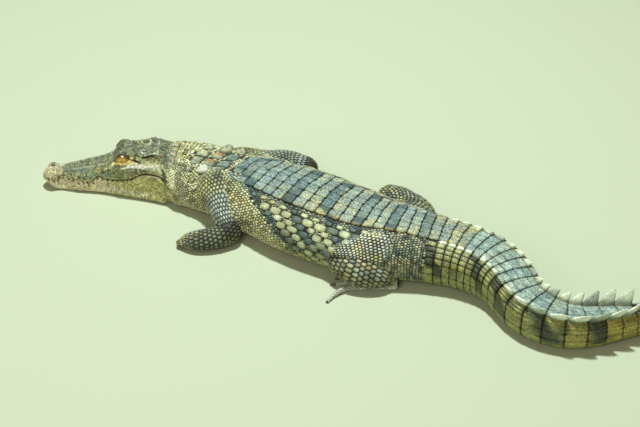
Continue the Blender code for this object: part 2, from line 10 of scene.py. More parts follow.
import bpy
import numpy as np
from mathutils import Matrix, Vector


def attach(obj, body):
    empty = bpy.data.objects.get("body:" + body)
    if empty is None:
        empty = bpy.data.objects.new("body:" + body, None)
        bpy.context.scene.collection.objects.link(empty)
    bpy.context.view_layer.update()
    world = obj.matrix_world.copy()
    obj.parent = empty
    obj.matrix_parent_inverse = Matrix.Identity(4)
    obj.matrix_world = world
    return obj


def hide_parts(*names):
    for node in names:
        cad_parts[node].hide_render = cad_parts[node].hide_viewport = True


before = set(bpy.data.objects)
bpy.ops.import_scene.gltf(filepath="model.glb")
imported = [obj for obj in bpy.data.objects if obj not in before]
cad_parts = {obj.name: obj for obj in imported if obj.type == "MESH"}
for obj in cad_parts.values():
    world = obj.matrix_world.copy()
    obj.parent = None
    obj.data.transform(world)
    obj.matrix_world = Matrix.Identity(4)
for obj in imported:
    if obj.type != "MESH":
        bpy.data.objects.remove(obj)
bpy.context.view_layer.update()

# ==== studio
# A plain pale floor, a small bright lamp high over the far side of the animal, a broad weaker one in
# front of it, and a pale surrounding light.  The camera looks down on the left flank.
bpy.context.scene.view_settings.view_transform = "Standard"
FLOOR_REACH = 8.0
CAMERA_TURN = math.radians(27.0)
CAMERA_RISE = math.radians(36.5)
CAMERA_DISTANCE = 2.57
CAMERA_TARGET = Vector((-.01, .055, 0.0))
CAMERA_LENS = 92.5


def put(name, data):
    """A new object of this mesh, lamp or camera, linked into the scene."""
    made = bpy.data.objects.new(name, data)
    bpy.context.scene.collection.objects.link(made)
    return made


def feed(tree, inputs, values):
    """Gives each input named in values its plain value, or the socket that feeds it."""
    for name, value in values.items():
        if isinstance(value, bpy.types.NodeSocket):
            tree.links.new(value, inputs[name])
        else:
            inputs[name].default_value = value


def new_finish(name):
    """A new material, with its node tree and the inputs of its shader."""
    finish = bpy.data.materials.new(name)
    finish.use_nodes = True
    return finish, finish.node_tree, finish.node_tree.nodes["Principled BSDF"].inputs


floor_mesh = bpy.data.meshes.new("floor")
corners = [(x * FLOOR_REACH, y * FLOOR_REACH, 0) for x, y in ((-1, -1), (1, -1), (1, 1), (-1, 1))]
floor_mesh.from_pydata(corners, [], [(0, 1, 2, 3)])
floor_finish, tree, shader = new_finish("pale_floor")
feed(tree, shader, {"Base Color": (.45, .52, .38, 1), "Roughness": .9})
floor_mesh.materials.append(floor_finish)
put("floor", floor_mesh)

away = Vector((math.sin(CAMERA_TURN) * math.cos(CAMERA_RISE),
               -math.cos(CAMERA_TURN) * math.cos(CAMERA_RISE), math.sin(CAMERA_RISE)))
camera = put("camera", bpy.data.cameras.new("camera"))
camera.data.lens = CAMERA_LENS
camera.data.sensor_width = 36.0
camera.location = CAMERA_TARGET + away * CAMERA_DISTANCE
camera.rotation_mode = "QUATERNION"
camera.rotation_quaternion = (-away).to_track_quat("-Z", "Y")
bpy.context.scene.camera = camera


def lamp(name, place, size, power, colour):
    """A square lamp that faces the middle of the animal."""
    light = bpy.data.lights.new(name, "AREA")
    light.size = size
    light.energy = power
    light.color = colour
    held = put(name, light)
    held.location = place
    held.rotation_mode = "QUATERNION"
    held.rotation_quaternion = (-Vector(place)).to_track_quat("-Z", "Y")


lamp("high_lamp", (-.34, .34, 3.15), .22, 128.0, (.95, 1.0, .97))
lamp("front_lamp", (.1, -2.6, 1.9), 2.0, 31.0, (1.0, .92, .78))
surround = bpy.data.worlds.new("surround")
surround.use_nodes = True
tree = surround.node_tree
feed(tree, tree.nodes["Background"].inputs, {"Color": (1.0, .84, .62, 1), "Strength": .22})
bpy.context.scene.world = surround

# ==== form of the body
# The outline that the hide is pulled over: a bent backbone line and cross-sections along it, the
# same ones that shape the solids.  The hide lies under that outline by the depth of the scales.
TOTAL_LENGTH = 1.305
HEAD_LENGTH = .19  # snout tip to the rear of the skull table
ORIGIN_STATION = .465
TRUNK_END = .635
CREST_MERGE = 1.04  # the two tail crests run into one here
CREST_LEAN = math.radians(28)
# Heading of the backbone line in plan, (station, degrees), tailwards, 0 along +X.
HEADINGS = (
    (0.0, 28), (.185, 27), (.22, 18), (.25, 3), (.28, -7), (.305, -9), (.385, -9), (.565, 0),
    (.665, 11), (.745, -10), (.825, -43), (.895, -2), (.965, 41), (1.035, 46), (1.125, 54),
    (1.205, 51), (1.305, 39),
)

# Body sections: station, half width, height of the back, height of the widest point,
# height of the belly before the ground flattens it, upper and lower roundness.
GIRTHS = (
    (.19, .062, .062, .026, -.004, 2.2, 3.0),
    (.225, .069, .06, .026, -.005, 2.2, 3.2),
    (.275, .07, .065, .028, -.005, 2.1, 2.8),
    (.325, .069, .079, .033, -.005, 2.1, 2.5),
    (.385, .074, .09, .038, -.006, 2.1, 2.6),
    (.465, .081, .095, .04, -.006, 2.1, 2.6),
    (.545, .078, .092, .04, -.005, 2.1, 2.6),
    (.605, .066, .088, .038, -.004, 2.2, 2.5),
    (.665, .055, .083, .036, -.003, 2.4, 2.4),
    (.745, .047, .076, .033, -.003, 2.8, 2.4),
    (.845, .036, .065, .028, -.002, 3.2, 2.4),
    (.955, .027, .051, .022, -.002, 3.2, 2.3),
    (1.04, .019, .041, .018, -.002, 2.6, 2.2),
    (1.125, .013, .032, .014, -.001, 2.2, 2.1),
    (1.225, .008, .021, .01, -.001, 2.0, 2.0),
    (1.305, .002, .007, .004, 0.0, 2.0, 2.0),
)
# Spacing of the rings of scales round the tail.
WHORL_PITCH = ((.625, .0155), (.745, .016), (.855, .021), (.955, .025), (1.035, .024),
               (1.155, .02), (1.305, .014))
# Height of the crest scales over the back, and how far the twin ridges stand from the midline.
CREST_HEIGHT = ((.625, .002), (.705, .005), (.805, .009), (.905, .0155), (.985, .0235),
                (1.055, .0285), (1.125, .0275), (1.205, .02), (1.305, .004))

# Head outlines, in head lengths, against the distance u from the snout tip; TEMPLE_EDGE and CHEEK_EDGE
# give the half width and the height.
LIP_WIDTH = ((0, .016), (.015, .045), (.04, .07), (.08, .082), (.12, .079), (.16, .066), (.2, .068),
             (.26, .094), (.32, .112), (.38, .117), (.45, .121), (.55, .144), (.65, .176), (.75, .2),
             (.85, .216), (.95, .243), (1.06, .275))
MOUTH_HEIGHT = ((0, .118), (.03, .108), (.09, .112), (.13, .114), (.165, .142), (.2, .13),
                (.26, .119), (.38, .103), (.42, .117), (.47, .162), (.49, .164), (.55, .147),
                (.65, .16), (.75, .186), (.83, .234), (.9, .255), (.96, .256), (1.06, .236))
TOP_HEIGHT = ((0, .128), (.02, .156), (.05, .192), (.085, .214), (.12, .208), (.165, .19), (.25, .204),
              (.35, .222), (.45, .242), (.55, .272), (.62, .312), (.67, .345), (.74, .358),
              (.85, .37), (.96, .38), (1.0, .37), (1.06, .345))
EDGE_WIDTH = ((0, .008), (.02, .028), (.06, .045), (.1, .046), (.16, .042), (.25, .054), (.38, .068),
              (.5, .076), (.58, .082), (.64, .093), (.7, .098), (.77, .097), (.85, .104),
              (.96, .121), (1.0, .124), (1.06, .14))
EDGE_HEIGHT = ((0, .126), (.02, .152), (.06, .195), (.1, .205), (.16, .182), (.25, .194), (.38, .217),
               (.5, .246), (.58, .272), (.64, .35), (.68, .393), (.71, .395), (.77, .379),
               (.85, .386), (.96, .392), (1.0, .376), (1.06, .335))
TEMPLE_EDGE = ((0, .01, .123), (.02, .038, .144), (.06, .066, .169), (.1, .07, .174),
               (.16, .056, .164), (.25, .078, .165), (.38, .1, .176), (.5, .112, .214),
               (.6, .138, .262), (.67, .164, .306), (.73, .16, .312), (.8, .143, .328),
               (.9, .142, .336), (1, .156, .322), (1.06, .18, .296))
CHEEK_EDGE = ((0, .012, .12), (.02, .046, .13), (.06, .078, .138), (.1, .081, .142),
              (.16, .066, .154), (.25, .093, .14), (.38, .118, .134), (.5, .13, .19),
              (.6, .158, .202), (.7, .186, .242), (.8, .201, .284), (.9, .214, .304),
              (1, .242, .288), (1.06, .262, .262))
LOWER_JAW_INSET = ((0, .004), (.04, .014), (.4, .012), (.5, .004), (.7, .006), (.88, -.002), (1.06, -.016))
JAW_EDGE = ((0, .01), (.04, .042), (.1, .067), (.27, .1), (.48, .129), (.66, .175), (.83, .224),
            (.96, .261), (1.06, .3))  # half width of the jaw's flat underside
CHIN_HEIGHT = ((0, .082), (.02, .068), (.05, .036), (.08, .012), (.11, 0), (1.06, 0))  # how the chin lifts


def keyed(x, keys):
    """Monotone cubic curve through (x, value) keys, level where the keys turn."""
    xs, ys = np.array(keys, float).T
    x = np.asarray(x, float)
    step = np.diff(xs)
    slope = np.diff(ys) / step
    tangent = np.zeros(len(xs))
    same_way = slope[:-1] * slope[1:] > 0
    before, after = 2 * step[1:] + step[:-1], step[1:] + 2 * step[:-1]
    with np.errstate(divide="ignore", invalid="ignore"):
        mean = (before + after) / (before / slope[:-1] + after / slope[1:])
    tangent[1:-1] = np.where(same_way, mean, 0.0)
    tangent[0], tangent[-1] = slope[0], slope[-1]
    i = np.clip(np.searchsorted(xs, x, side="right") - 1, 0, len(xs) - 2)
    t = np.clip((x - xs[i]) / step[i], 0, 1)
    rise = (3 - 2 * t) * t * t
    return (ys[i] * (1 - rise) + ys[i + 1] * rise
            + step[i] * (tangent[i] * t * (1 - t) ** 2 - tangent[i + 1] * t * t * (1 - t)))


def keyed_all(x, table):
    """The curve through each further column of a table, against its first."""
    table = np.array(table)
    return [keyed(x, table[:, (0, column)]) for column in range(1, table.shape[1])]


LINE_STATIONS = np.linspace(0, TOTAL_LENGTH, 2601)
LINE_HEADINGS = np.radians(keyed(LINE_STATIONS, HEADINGS))


def summed(values):
    """Running integral of values along the backbone line, zero at the origin's station."""
    steps = (values[1:] + values[:-1]) / 2 * np.diff(LINE_STATIONS)
    total = np.concatenate([[0], np.cumsum(steps)])
    return total - np.interp(ORIGIN_STATION, LINE_STATIONS, total)


LINE_X, LINE_Y = summed(np.cos(LINE_HEADINGS)), summed(np.sin(LINE_HEADINGS))


def plan_ways(stations):
    """Level unit vectors tailwards along the backbone line and out to the animal's left."""
    heading = np.interp(stations, LINE_STATIONS, LINE_HEADINGS)
    return (np.stack([np.cos(heading), np.sin(heading), 0 * heading], -1),
            np.stack([np.sin(heading), -np.cos(heading), 0 * heading], -1))


def placed(stations, side, height):
    """World points for offsets to the animal's left (side) and up (height) at each station."""
    x, y = (np.interp(stations, LINE_STATIONS, line) for line in (LINE_X, LINE_Y))
    leftwards = plan_ways(stations)[1]
    return np.stack([x + leftwards[..., 0] * side, y + leftwards[..., 1] * side, height + 0 * x], -1)


def body_controls(stations):
    """Ten control points of each body section, from a rounded superellipse."""
    width, back, middle, belly, upper, lower = (value[..., None] for value in keyed_all(stations, GIRTHS))
    angle = np.radians(20 * np.arange(10))
    over = np.cos(angle) >= 0
    power = 2 / np.where(over, upper, lower)
    side = width * np.abs(np.sin(angle)) ** power
    reach = np.abs(np.cos(angle)) ** power
    height = middle + np.where(over, (back - middle) * reach, (belly - middle) * reach)
    return np.stack([side, height], -1)


def head_controls(stations):
    """Ten control points of each head section: crown, brow, temple, cheek, lips, jaw, throat."""
    u = np.asarray(stations) / HEAD_LENGTH
    lip, mouth, top = keyed(u, LIP_WIDTH), keyed(u, MOUTH_HEIGHT), keyed(u, TOP_HEIGHT)
    edge, edge_up = keyed(u, EDGE_WIDTH), keyed(u, EDGE_HEIGHT)
    lower = lip - keyed(u, LOWER_JAW_INSET)
    chin = keyed(u, CHIN_HEIGHT)
    points = (
        (0 * u, top),
        (.5 * edge, top + .45 * (edge_up - top)),
        (edge, edge_up),
        keyed_all(u, TEMPLE_EDGE),
        keyed_all(u, CHEEK_EDGE),
        (lip, mouth + .006),
        (lower, mouth - .014),
        (.5 * lower + .5 * keyed(u, JAW_EDGE) + .006, .45 * mouth + .4 * chin),
        (keyed(u, JAW_EDGE), .012 + chin),
        (0 * u, -.014 + chin),
    )
    return HEAD_LENGTH * np.stack([np.stack(p, -1) for p in points], -2)


def controls(stations):
    """Head sections run into body sections over the back of the skull."""
    stations = np.asarray(stations, float)
    start, end = 1.0 * HEAD_LENGTH, 1.22 * HEAD_LENGTH
    t = np.clip((stations - start) / (end - start), 0, 1)[..., None, None]
    blend = t * t * (3 - 2 * t)
    head = head_controls(np.minimum(stations, 1.06 * HEAD_LENGTH))
    body = body_controls(np.maximum(stations, HEAD_LENGTH))
    return head * (1 - blend) + body * blend


SECTION_STATIONS = np.linspace(0, TOTAL_LENGTH, 5221)
SECTION_POINTS = controls(SECTION_STATIONS)
SECTION_POINTS = np.concatenate(
    [SECTION_POINTS[:, 1:2] * (-1, 1), SECTION_POINTS, SECTION_POINTS[:, 8:9] * (-1, 1)], 1)


def half_section(stations, turns):
    """Offset to the side and height of the outline: Catmull-Rom curve through the ten control points."""
    stations, turns = np.broadcast_arrays(np.asarray(stations, float), np.abs(turns))
    place = np.clip(stations / TOTAL_LENGTH, 0, 1) * (len(SECTION_STATIONS) - 1)
    row = np.minimum(place.astype(int), len(SECTION_STATIONS) - 2)
    between = (place - row)[..., None]
    i = np.minimum(turns.astype(int), 8)
    f = (turns - i)[..., None]
    p0, p1, p2, p3 = (SECTION_POINTS[row, i + k] * (1 - between) + SECTION_POINTS[row + 1, i + k] * between
                      for k in range(4))
    return .5 * (2 * p1 + (p2 - p0) * f + (2 * p0 - 5 * p1 + 4 * p2 - p3) * f ** 2
                  + (3 * p1 - p0 - 3 * p2 + p3) * f ** 3)


def local_outline(stations, turns):
    """The outline before the backbone is bent: station, offset to the side, height."""
    half = half_section(stations, turns)
    return np.concatenate([np.broadcast_to(stations, half.shape[:-1])[..., None], half], -1)


def grid_read(grid, rows, columns, a, b):
    """Bilinear reading of a table of numbers or of vectors."""
    i = np.clip(np.interp(a, rows, np.arange(len(rows))), 0, len(rows) - 1.001)
    j = np.clip(np.interp(b, columns, np.arange(len(columns))), 0, len(columns) - 1.001)
    i0, j0 = i.astype(int), j.astype(int)
    f, g = (i - i0, j - j0) if grid.ndim == 2 else ((i - i0)[..., None], (j - j0)[..., None])
    return ((grid[i0, j0] * (1 - f) + grid[i0 + 1, j0] * f) * (1 - g)
            + (grid[i0, j0 + 1] * (1 - f) + grid[i0 + 1, j0 + 1] * f) * g)


ARC_STATIONS = np.linspace(0, TOTAL_LENGTH, 600)
ARC_TURNS = np.linspace(0, 9, 181)
ARC_STEPS = np.linalg.norm(np.diff(half_section(ARC_STATIONS[:, None], ARC_TURNS), axis=1), axis=-1)
ARCS = np.concatenate([np.zeros((len(ARC_STATIONS), 1)), np.cumsum(ARC_STEPS, 1)], 1)


def arc_length(stations, turns):
    """Signed distance round the outline from the back's midline to a turn."""
    return np.sign(turns) * grid_read(ARCS, ARC_STATIONS, ARC_TURNS, stations, np.abs(turns))


def unit(vectors):
    """Vectors scaled to length 1."""
    return vectors / np.maximum(np.linalg.norm(vectors, axis=-1, keepdims=True), 1e-12)


def smooth(x, zero, one):
    """An S-curve from 0 where x is at or beyond zero to 1 where it is at or beyond one."""
    t = np.clip((np.asarray(x, float) - zero) / (one - zero), 0, 1)
    return t * t * (3 - 2 * t)


def bell(x, width, power=2):
    """Bell curve: 1 where x is 0, falling off over width, more squarely for a higher power."""
    return np.exp(-(x / width) ** power)


class Sheet:
    """A surface held as a grid of points, read anywhere between them by bilinear blending."""

    def __init__(self, rows, columns, points, closed=False):
        self.rows, self.columns, self.points, self.closed = rows, columns, points, closed
        along = np.gradient(points, axis=0)
        wide = np.concatenate([points[:, -2:-1], points, points[:, 1:2]], 1)
        self.normals = unit(np.cross(wide[:, 2:] - wide[:, :-2], along))

    def at(self, a, b):
        """Points and outward directions at row value a and column value b (which wraps if closed)."""
        b = np.mod(b, 1.0) if self.closed else b
        points, normals = (grid_read(grid, self.rows, self.columns, a, b)
                           for grid in (self.points, self.normals))
        return points, unit(normals)


# ==== head and body hide
# Soft hide over skull, neck, trunk and tail, one tube from the nose to the tail tip.  Over the head
# it is tight on the bone, with lids, folds, a mouth line and nostrils pressed in; it is made by
# pushing the outline in by the scales' depth and adding ridges and furrows along drawn lines.
EYE_CENTRE = np.array([.69, .098, .315]) * HEAD_LENGTH
EYE_RADIUS = .0118
UPPER_LID = ((.606, 2.3), (.616, 2.18), (.636, 2.1), (.664, 2.22), (.696, 2.28), (.724, 2.33), (.746, 2.43),
             (.766, 2.62))
LOWER_LID = ((.606, 2.34), (.622, 2.52), (.65, 2.71), (.678, 2.8), (.712, 2.83), (.74, 2.77), (.766, 2.62))
MOUTH_TURN = 5.45
# Painted shade for furrows, the lids' own yellow, painted highlight for ridges, the folds' own amber.
FURROW_SHADE = (.02, .02, .01)
LID_YELLOW = (.6, .5, .13)
RIDGE_HIGHLIGHT = (.74, .8, .6)
FOLD_AMBER = (.5, .33, .09)
# Ridges (+) and furrows (-) of the hide: height, half width (m), colour, strength of it, line of (u, t).
# The near black along furrows is painted shade and the near white along ridges a painted highlight;
# the yellow and amber are the hide's own.
RELIEF = (
    (-.0022, .0017, FURROW_SHADE, 1.0, ((.757, 2.56), (.78, 2.8), (.808, 3.05), (.83, 3.23), (.854, 3.38))),
    (+.0012, .0014, LID_YELLOW, .9, ((.752, 2.98), (.788, 3.2), (.822, 3.3), (.852, 3.48))),
    (-.0013, .0009, FURROW_SHADE, .6, ((.63, 2.97), (.664, 3.17), (.712, 3.22), (.76, 3.34), (.816, 3.45))),
    (+.0014, .0038, RIDGE_HIGHLIGHT, 1.0,
     ((.656, 3.3), (.746, 3.44), (.824, 3.66), (.904, 3.78), (.966, 3.55), (1.022, 3.53))),
    (-.0014, .001, FURROW_SHADE, .65, ((.658, 3.48), (.712, 3.62), (.754, 3.74), (.81, 4.02), (.86, 4.1))),
    (-.0011, .0009, FOLD_AMBER, .7, ((.686, 3.74), (.728, 4.08), (.766, 4.28), (.788, 4.33))),
    (-.0026, .0012, FURROW_SHADE, .95, ((.855, 2.66), (.892, 2.6), (.92, 2.47), (.952, 2.35))),
    (+.0016, .0014, RIDGE_HIGHLIGHT, .6, ((.842, 2.48), (.884, 2.34), (.93, 2.11), (.966, 2.01), (1.0, 2.03))),
    (-.0013, .001, FOLD_AMBER, .8, ((.88, 3.55), (.922, 3.58), (.956, 3.45), (.982, 3.18), (1.002, 2.73))),
    (+.0018, .0044, LID_YELLOW, .25, ((.905, 3.02), (.935, 3.12))),
    (-.0026, .0017, FURROW_SHADE, .95, ((1.03, 4.9), (1.055, 4.5), (1.078, 4.15), (1.102, 3.8))),
    (+.0012, .0026, RIDGE_HIGHLIGHT, 1.0,
     ((.47, 7.0), (.554, 7.03), (.626, 7.05), (.698, 7.23), (.768, 7.3), (.84, 7.43), (.912, 7.38))),
    (+.0014, .0026, RIDGE_HIGHLIGHT, .55, ((.848, 6.15), (.872, 6.05))),
    (+.0014, .0026, RIDGE_HIGHLIGHT, .55, ((.905, 6.0), (.93, 5.95))),
    (+.0012, .0026, RIDGE_HIGHLIGHT, .55, ((.965, 5.8), (.985, 5.75))),
    (-.0016, .0011, FURROW_SHADE, .8, ((.176, 3.58), (.183, 4.3), (.186, 4.95))),
    (+.0012, .0014, RIDGE_HIGHLIGHT, .25, ((.6, 1.7), (.52, 1.8), (.42, 1.9), (.32, 2.0), (.22, 2.1))),
    (-.0009, .0016, FURROW_SHADE, .3, ((.58, 1.1), (.48, 1.0), (.36, .85), (.24, .8))),
    (+.001, .0018, LID_YELLOW, .3, ((.545, 2.6), (.5, 2.75), (.44, 2.85))),
    (-.001, .0012, FURROW_SHADE, .45, ((.6, 3.15), (.55, 3.4), (.49, 3.7))),
    (-.0008, .001, FURROW_SHADE, .4, ((.625, .35), (.66, .45), (.72, .55), (.77, .55))),
    (-.0011, .0012, FURROW_SHADE, .6, ((.775, .2), (.79, .9), (.79, 1.6))),
    (+.0009, .0013, RIDGE_HIGHLIGHT, .35, ((.975, .0), (.985, .7), (.985, 1.4), (.975, 1.9))),
    (-.0008, .001, FURROW_SHADE, .45, ((.64, 1.7), (.68, 1.6), (.73, 1.65))),
)
TABLE_PIT = ((.828, 1.62), (.856, 1.02), (.896, .95), (.93, 1.55), (.88, 1.8), (.828, 1.62))
PIT_MIDDLE = (.878, 1.32)
NOSTRIL = ((.084, .42), (.092, .62), (.104, .72))
LIP_WAVE = 88  # radians of the lip's wave in a head length


def line_distance(points, drawn):
    """Distance from unbent points to a (u, t) line drawn on the left of the face, and how far along
    the line (0 to 1) its foot lies."""
    u, t = np.array(drawn).T
    fine = np.linspace(0, len(u) - 1, 4 * (len(u) - 1) + 1)
    u, t = np.interp(fine, np.arange(len(u)), u), np.interp(fine, np.arange(len(t)), t)
    line = local_outline(u * HEAD_LENGTH, t)
    start, run = line[:-1], np.diff(line, axis=0)
    length = np.linalg.norm(run, axis=1)
    offset = points[..., None, :] - start
    share = np.clip((offset * run).sum(-1) / np.maximum(length ** 2, 1e-18), 0, 1)
    gap = np.linalg.norm(offset - share[..., None] * run, axis=-1)
    best = gap.argmin(-1)
    before = np.concatenate([[0], np.cumsum(length)])
    picked = np.take_along_axis(share, best[..., None], -1)[..., 0]
    return gap.min(-1), (before[best] + picked * length[best]) / before[-1]


def spot_distance(points, u, t):
    """Distance from unbent points to one place on the left of the face."""
    return np.linalg.norm(points - local_outline(np.array(u * HEAD_LENGTH), np.array(t)), axis=-1)


def inside_lids(u, t):
    """True between the lids, where the lines of the upper and lower lid bracket t."""
    upper, lower = np.array(UPPER_LID), np.array(LOWER_LID)
    t = np.abs(t)
    return ((u > upper[0, 0]) & (u < upper[-1, 0])
            & (t > np.interp(u, *upper.T)) & (t < np.interp(u, *lower.T)))


def below_mouth(stations, turns):
    """Distance below the wavy line of the mouth, round the outline (negative above it), and 1 where
    there is a mouth."""
    u = stations / HEAD_LENGTH
    line = MOUTH_TURN + .1 * np.sin(u * LIP_WAVE) * smooth(u, .78, .7)
    below = arc_length(stations, np.abs(turns)) - arc_length(stations, line)
    return below, smooth(u, .004, .03) * smooth(u, 1.075, 1.03)


def face_relief(stations, turns, points):
    """Sum of a bell-shaped ridge or furrow along each drawn line, and of the pits and lip lumps."""
    u = stations / HEAD_LENGTH
    relief = np.zeros(points.shape[:-1])
    for height, width, _, _, line in RELIEF:
        gap, share = line_distance(points, line)
        taper = np.minimum(1, .35 + 3 * np.minimum(share, 1 - share))
        relief += height * taper * bell(gap, width)
    relief -= .0018 * bell(spot_distance(points, *PIT_MIDDLE), .0052, 4)
    relief += .001 * bell(line_distance(points, TABLE_PIT)[0], .001)
    nostril = line_distance(points, NOSTRIL)[0]
    relief += .0014 * bell(nostril - .003, .0012)
    relief -= .0046 * bell(nostril, .0013)
    below, on_jaw = below_mouth(stations, turns)
    relief -= .0028 * on_jaw * bell(below, .0011)
    lump = np.maximum(0, np.sin(u * LIP_WAVE + .6)) * smooth(u, .62, .5) * smooth(u, .03, .06)
    relief += .0011 * lump * bell(below + .0036, .0022)
    relief += .0008 * lump * bell(below - .0034, .002)
    return relief


def mix(first, second, share):
    """Blend of two colours, share 0 to 1."""
    share = np.asarray(share, float)[..., None]
    return first * (1 - share) + second * share


def painted(colour, *coats):
    """A colour under coats of paint, each (paint, how much of it shows), the last on top."""
    for paint, cover in coats:
        colour = mix(colour, paint, cover)
    return colour


def face_paint(colour, stations, turns):
    """Colours the hide along each drawn line, the lips, the lid rims and the pits of the face.  The
    near-black marks in the mouth line, nostrils, pit, eye corners, jaw corner and along the upper lid are
    painted shade, and the pale rim of the pit a painted highlight.
    """
    u = stations / HEAD_LENGTH
    points = local_outline(stations, turns)
    for _, width, paint, strength, line in RELIEF:
        gap, share = line_distance(points, line)
        taper = np.minimum(1, .4 + 4 * np.minimum(share, 1 - share))
        colour = mix(colour, paint, strength * taper * bell(gap, 1.15 * width))
    below, on_jaw = below_mouth(stations, turns)
    scallop = .5 + .5 * np.sin(u * 150)
    gum_shade_width = .0014 + .0011 * smooth(u, .55, .4) + .0012 * scallop * (u < .8)
    toothed = smooth(u, .03, .06) * smooth(u, .6, .46) * on_jaw
    pit = spot_distance(points, *PIT_MIDDLE)
    upper, lower = (line_distance(points, lid)[0] for lid in (UPPER_LID, LOWER_LID))
    beyond = ~inside_lids(u, turns)
    wedge, share = line_distance(points, ((.752, 2.5), (.775, 2.72), (.8, 2.96), (.835, 3.2)))
    hinge = line_distance(points, ((1.03, 3.45), (1.06, 3.72), (1.095, 3.95)))[0]
    return painted(
        colour,
        ((.62, .55, .22), .8 * bell(below + .0034, .0012) * smooth(u, .1, .3) * on_jaw),  # lip
        ((.03, .019, .008), .97 * bell(below, gum_shade_width, 4) * on_jaw),  # gum, darkened to painted shade in the mouth line
        ((.86, .82, .6), .8 * bell(below - .0036, .0026, 4) * smooth(scallop, .45, .2) * toothed),
        ((.13, .065, .022), .9 * bell(below - .0042, .0038, 4) * smooth(scallop, .6, .85) * toothed),
        # painted shade in the nostrils
        ((.015, .012, .008), bell(line_distance(points, NOSTRIL)[0], .0022)),
        # painted shade in the skull table's pit, and a painted highlight on its rim
        ((.05, .075, .055), .7 * bell(pit, .005, 4)),
        (RIDGE_HIGHLIGHT, .45 * bell(pit - .0066, .0013)),
        ((.045, .045, .025), .92 * beyond * bell(upper - .0008, .0014)),  # lid rims: painted shade along the upper, the lids' own yellow on the lower
        ((.84, .7, .25), .97 * beyond * bell(lower - .0024, .0025, 4) * (lower < upper + .0004)),
        ((.018, .017, .012), .96 * bell(wedge, .0019 - .001 * share, 4)),  # painted shade in the rear corner of the eye
        ((.022, .024, .016), .92 * bell(hinge, .003, 4)),  # painted shade in the corner of the jaws
        ((.55, .27, .05), .9 * bell(spot_distance(points, .622, 2.42), .0032)),  # front corner of the eye
        # painted shade on the hide inside the lids, next to the eyeball
        ((.05, .04, .02), ~beyond * smooth(np.minimum(upper, lower), .0012, .0003)))


def open_eye(stations, turns, points):
    """Draws the hide to the eyeball: a socket between the lids, and lids that wrap it just outside."""
    upper = line_distance(points, UPPER_LID)[0]
    lower, share = line_distance(points, LOWER_LID)
    edge = np.minimum(upper, lower)
    signed = np.where(inside_lids(stations / HEAD_LENGTH, turns), -edge, edge)
    spoke = points - EYE_CENTRE
    reach = np.linalg.norm(spoke, axis=-1)
    wanted = EYE_RADIUS + np.interp(signed, (-.0016, -.0004, .0004, .0012), (-.0026, .0002, .001, .0012))
    near = smooth(signed, .0065, .001) * smooth(reach, .03, .02)
    close = reach + near * np.minimum(wanted - reach, .0004)
    taper = np.minimum(1, 4 * np.minimum(share, 1 - share))
    lid = .0018 * bell(signed - .0021, .0015) * (lower < upper) * taper
    lid += .0008 * bell(signed - .0009, .0008) * (upper <= lower)
    lid -= .0012 * bell(signed - .0052, .0011) * (lower < upper)
    return EYE_CENTRE + spoke * ((close + lid * (reach < .024)) / reach)[..., None]


def hide_depth(stations):
    """How deep the hide lies under the outline: thin over the skull, thick under the back's scutes."""
    return np.interp(stations, (0, .19, .26, .33, .62, .75, 1.0, 1.28, 1.305),
                     (.0005, .0005, .0014, .0018, .0018, .0013, .0011, .0005, .0002))


def hide_points(stations, turns):
    """Bent and placed hide at each station and turn: outline, less depth, plus the face's relief."""
    points = local_outline(stations, turns)
    along = local_outline(stations + 3e-4, turns) - local_outline(stations - 3e-4, turns)
    around = local_outline(stations, np.abs(turns) + .02) - local_outline(stations, np.abs(turns) - .02)
    outward = unit(np.cross(along, around))
    shift = -hide_depth(stations) * np.ones(turns.shape)
    face = stations[:, 0] < 1.16 * HEAD_LENGTH
    shift[face] += face_relief(stations[face], turns[face], points[face])
    moved = points + outward * shift[..., None]
    near = (stations[:, 0] > .53 * HEAD_LENGTH) & (stations[:, 0] < .86 * HEAD_LENGTH)
    drawn = open_eye(stations[near], turns[near], points[near])
    plain = points[near] + outward[near] * -hide_depth(stations[near])[..., None]
    pull = np.linalg.norm(drawn - points[near], axis=-1, keepdims=True)
    keep = smooth(pull, .0016, .0002)
    moved[near] = drawn + (moved[near] - plain) * keep + (plain - points[near]) * keep
    rounding = np.sqrt(1 - (1 - np.clip(stations / .003, 0, 1)) ** 2)
    rounding *= np.sqrt(1 - (1 - np.clip((TOTAL_LENGTH - stations) / .003, 0, 1)) ** 2)
    middle = moved[:, :, 2].min(1, keepdims=True) * .5 + moved[:, :, 2].max(1, keepdims=True) * .5
    height = middle + (moved[..., 2] - middle) * rounding
    placed_points = placed(moved[..., 0], np.sign(turns) * moved[..., 1] * rounding, height)
    placed_points[..., 2] = np.maximum(placed_points[..., 2], 0.0)
    return placed_points


def spaced(*spans):
    """Values from span to span, each (start, end, step), joined without a repeat."""
    runs = [np.linspace(a, b, max(2, round((b - a) / step) + 1))[:-1] for a, b, step in spans]
    return np.concatenate(runs + [[spans[-1][1]]])


HEAD_END = 1.16 * HEAD_LENGTH
body_rows = np.concatenate([
    HEAD_LENGTH * spaced((0, .012, .0015), (.012, .2, .0045), (.2, .575, .0055), (.575, .8, .0034),
                         (.8, 1.16, .0055))[:-1],
    spaced((HEAD_END, .26, .003), (.26, TOTAL_LENGTH - .004, .004),
           (TOTAL_LENGTH - .004, TOTAL_LENGTH, .0008))])
half_turns = spaced((0, 1.6, .133333), (1.6, 3.4, .05), (3.4, 5.0, .1), (5.0, 6.0, .066667),
                    (6.0, 9.0, .21428))
body_columns = np.concatenate([-half_turns[:0:-1], half_turns])
body = Sheet(body_rows, body_columns, hide_points(body_rows[:, None] + 0 * body_columns, body_columns
                                                  + 0 * body_rows[:, None]))

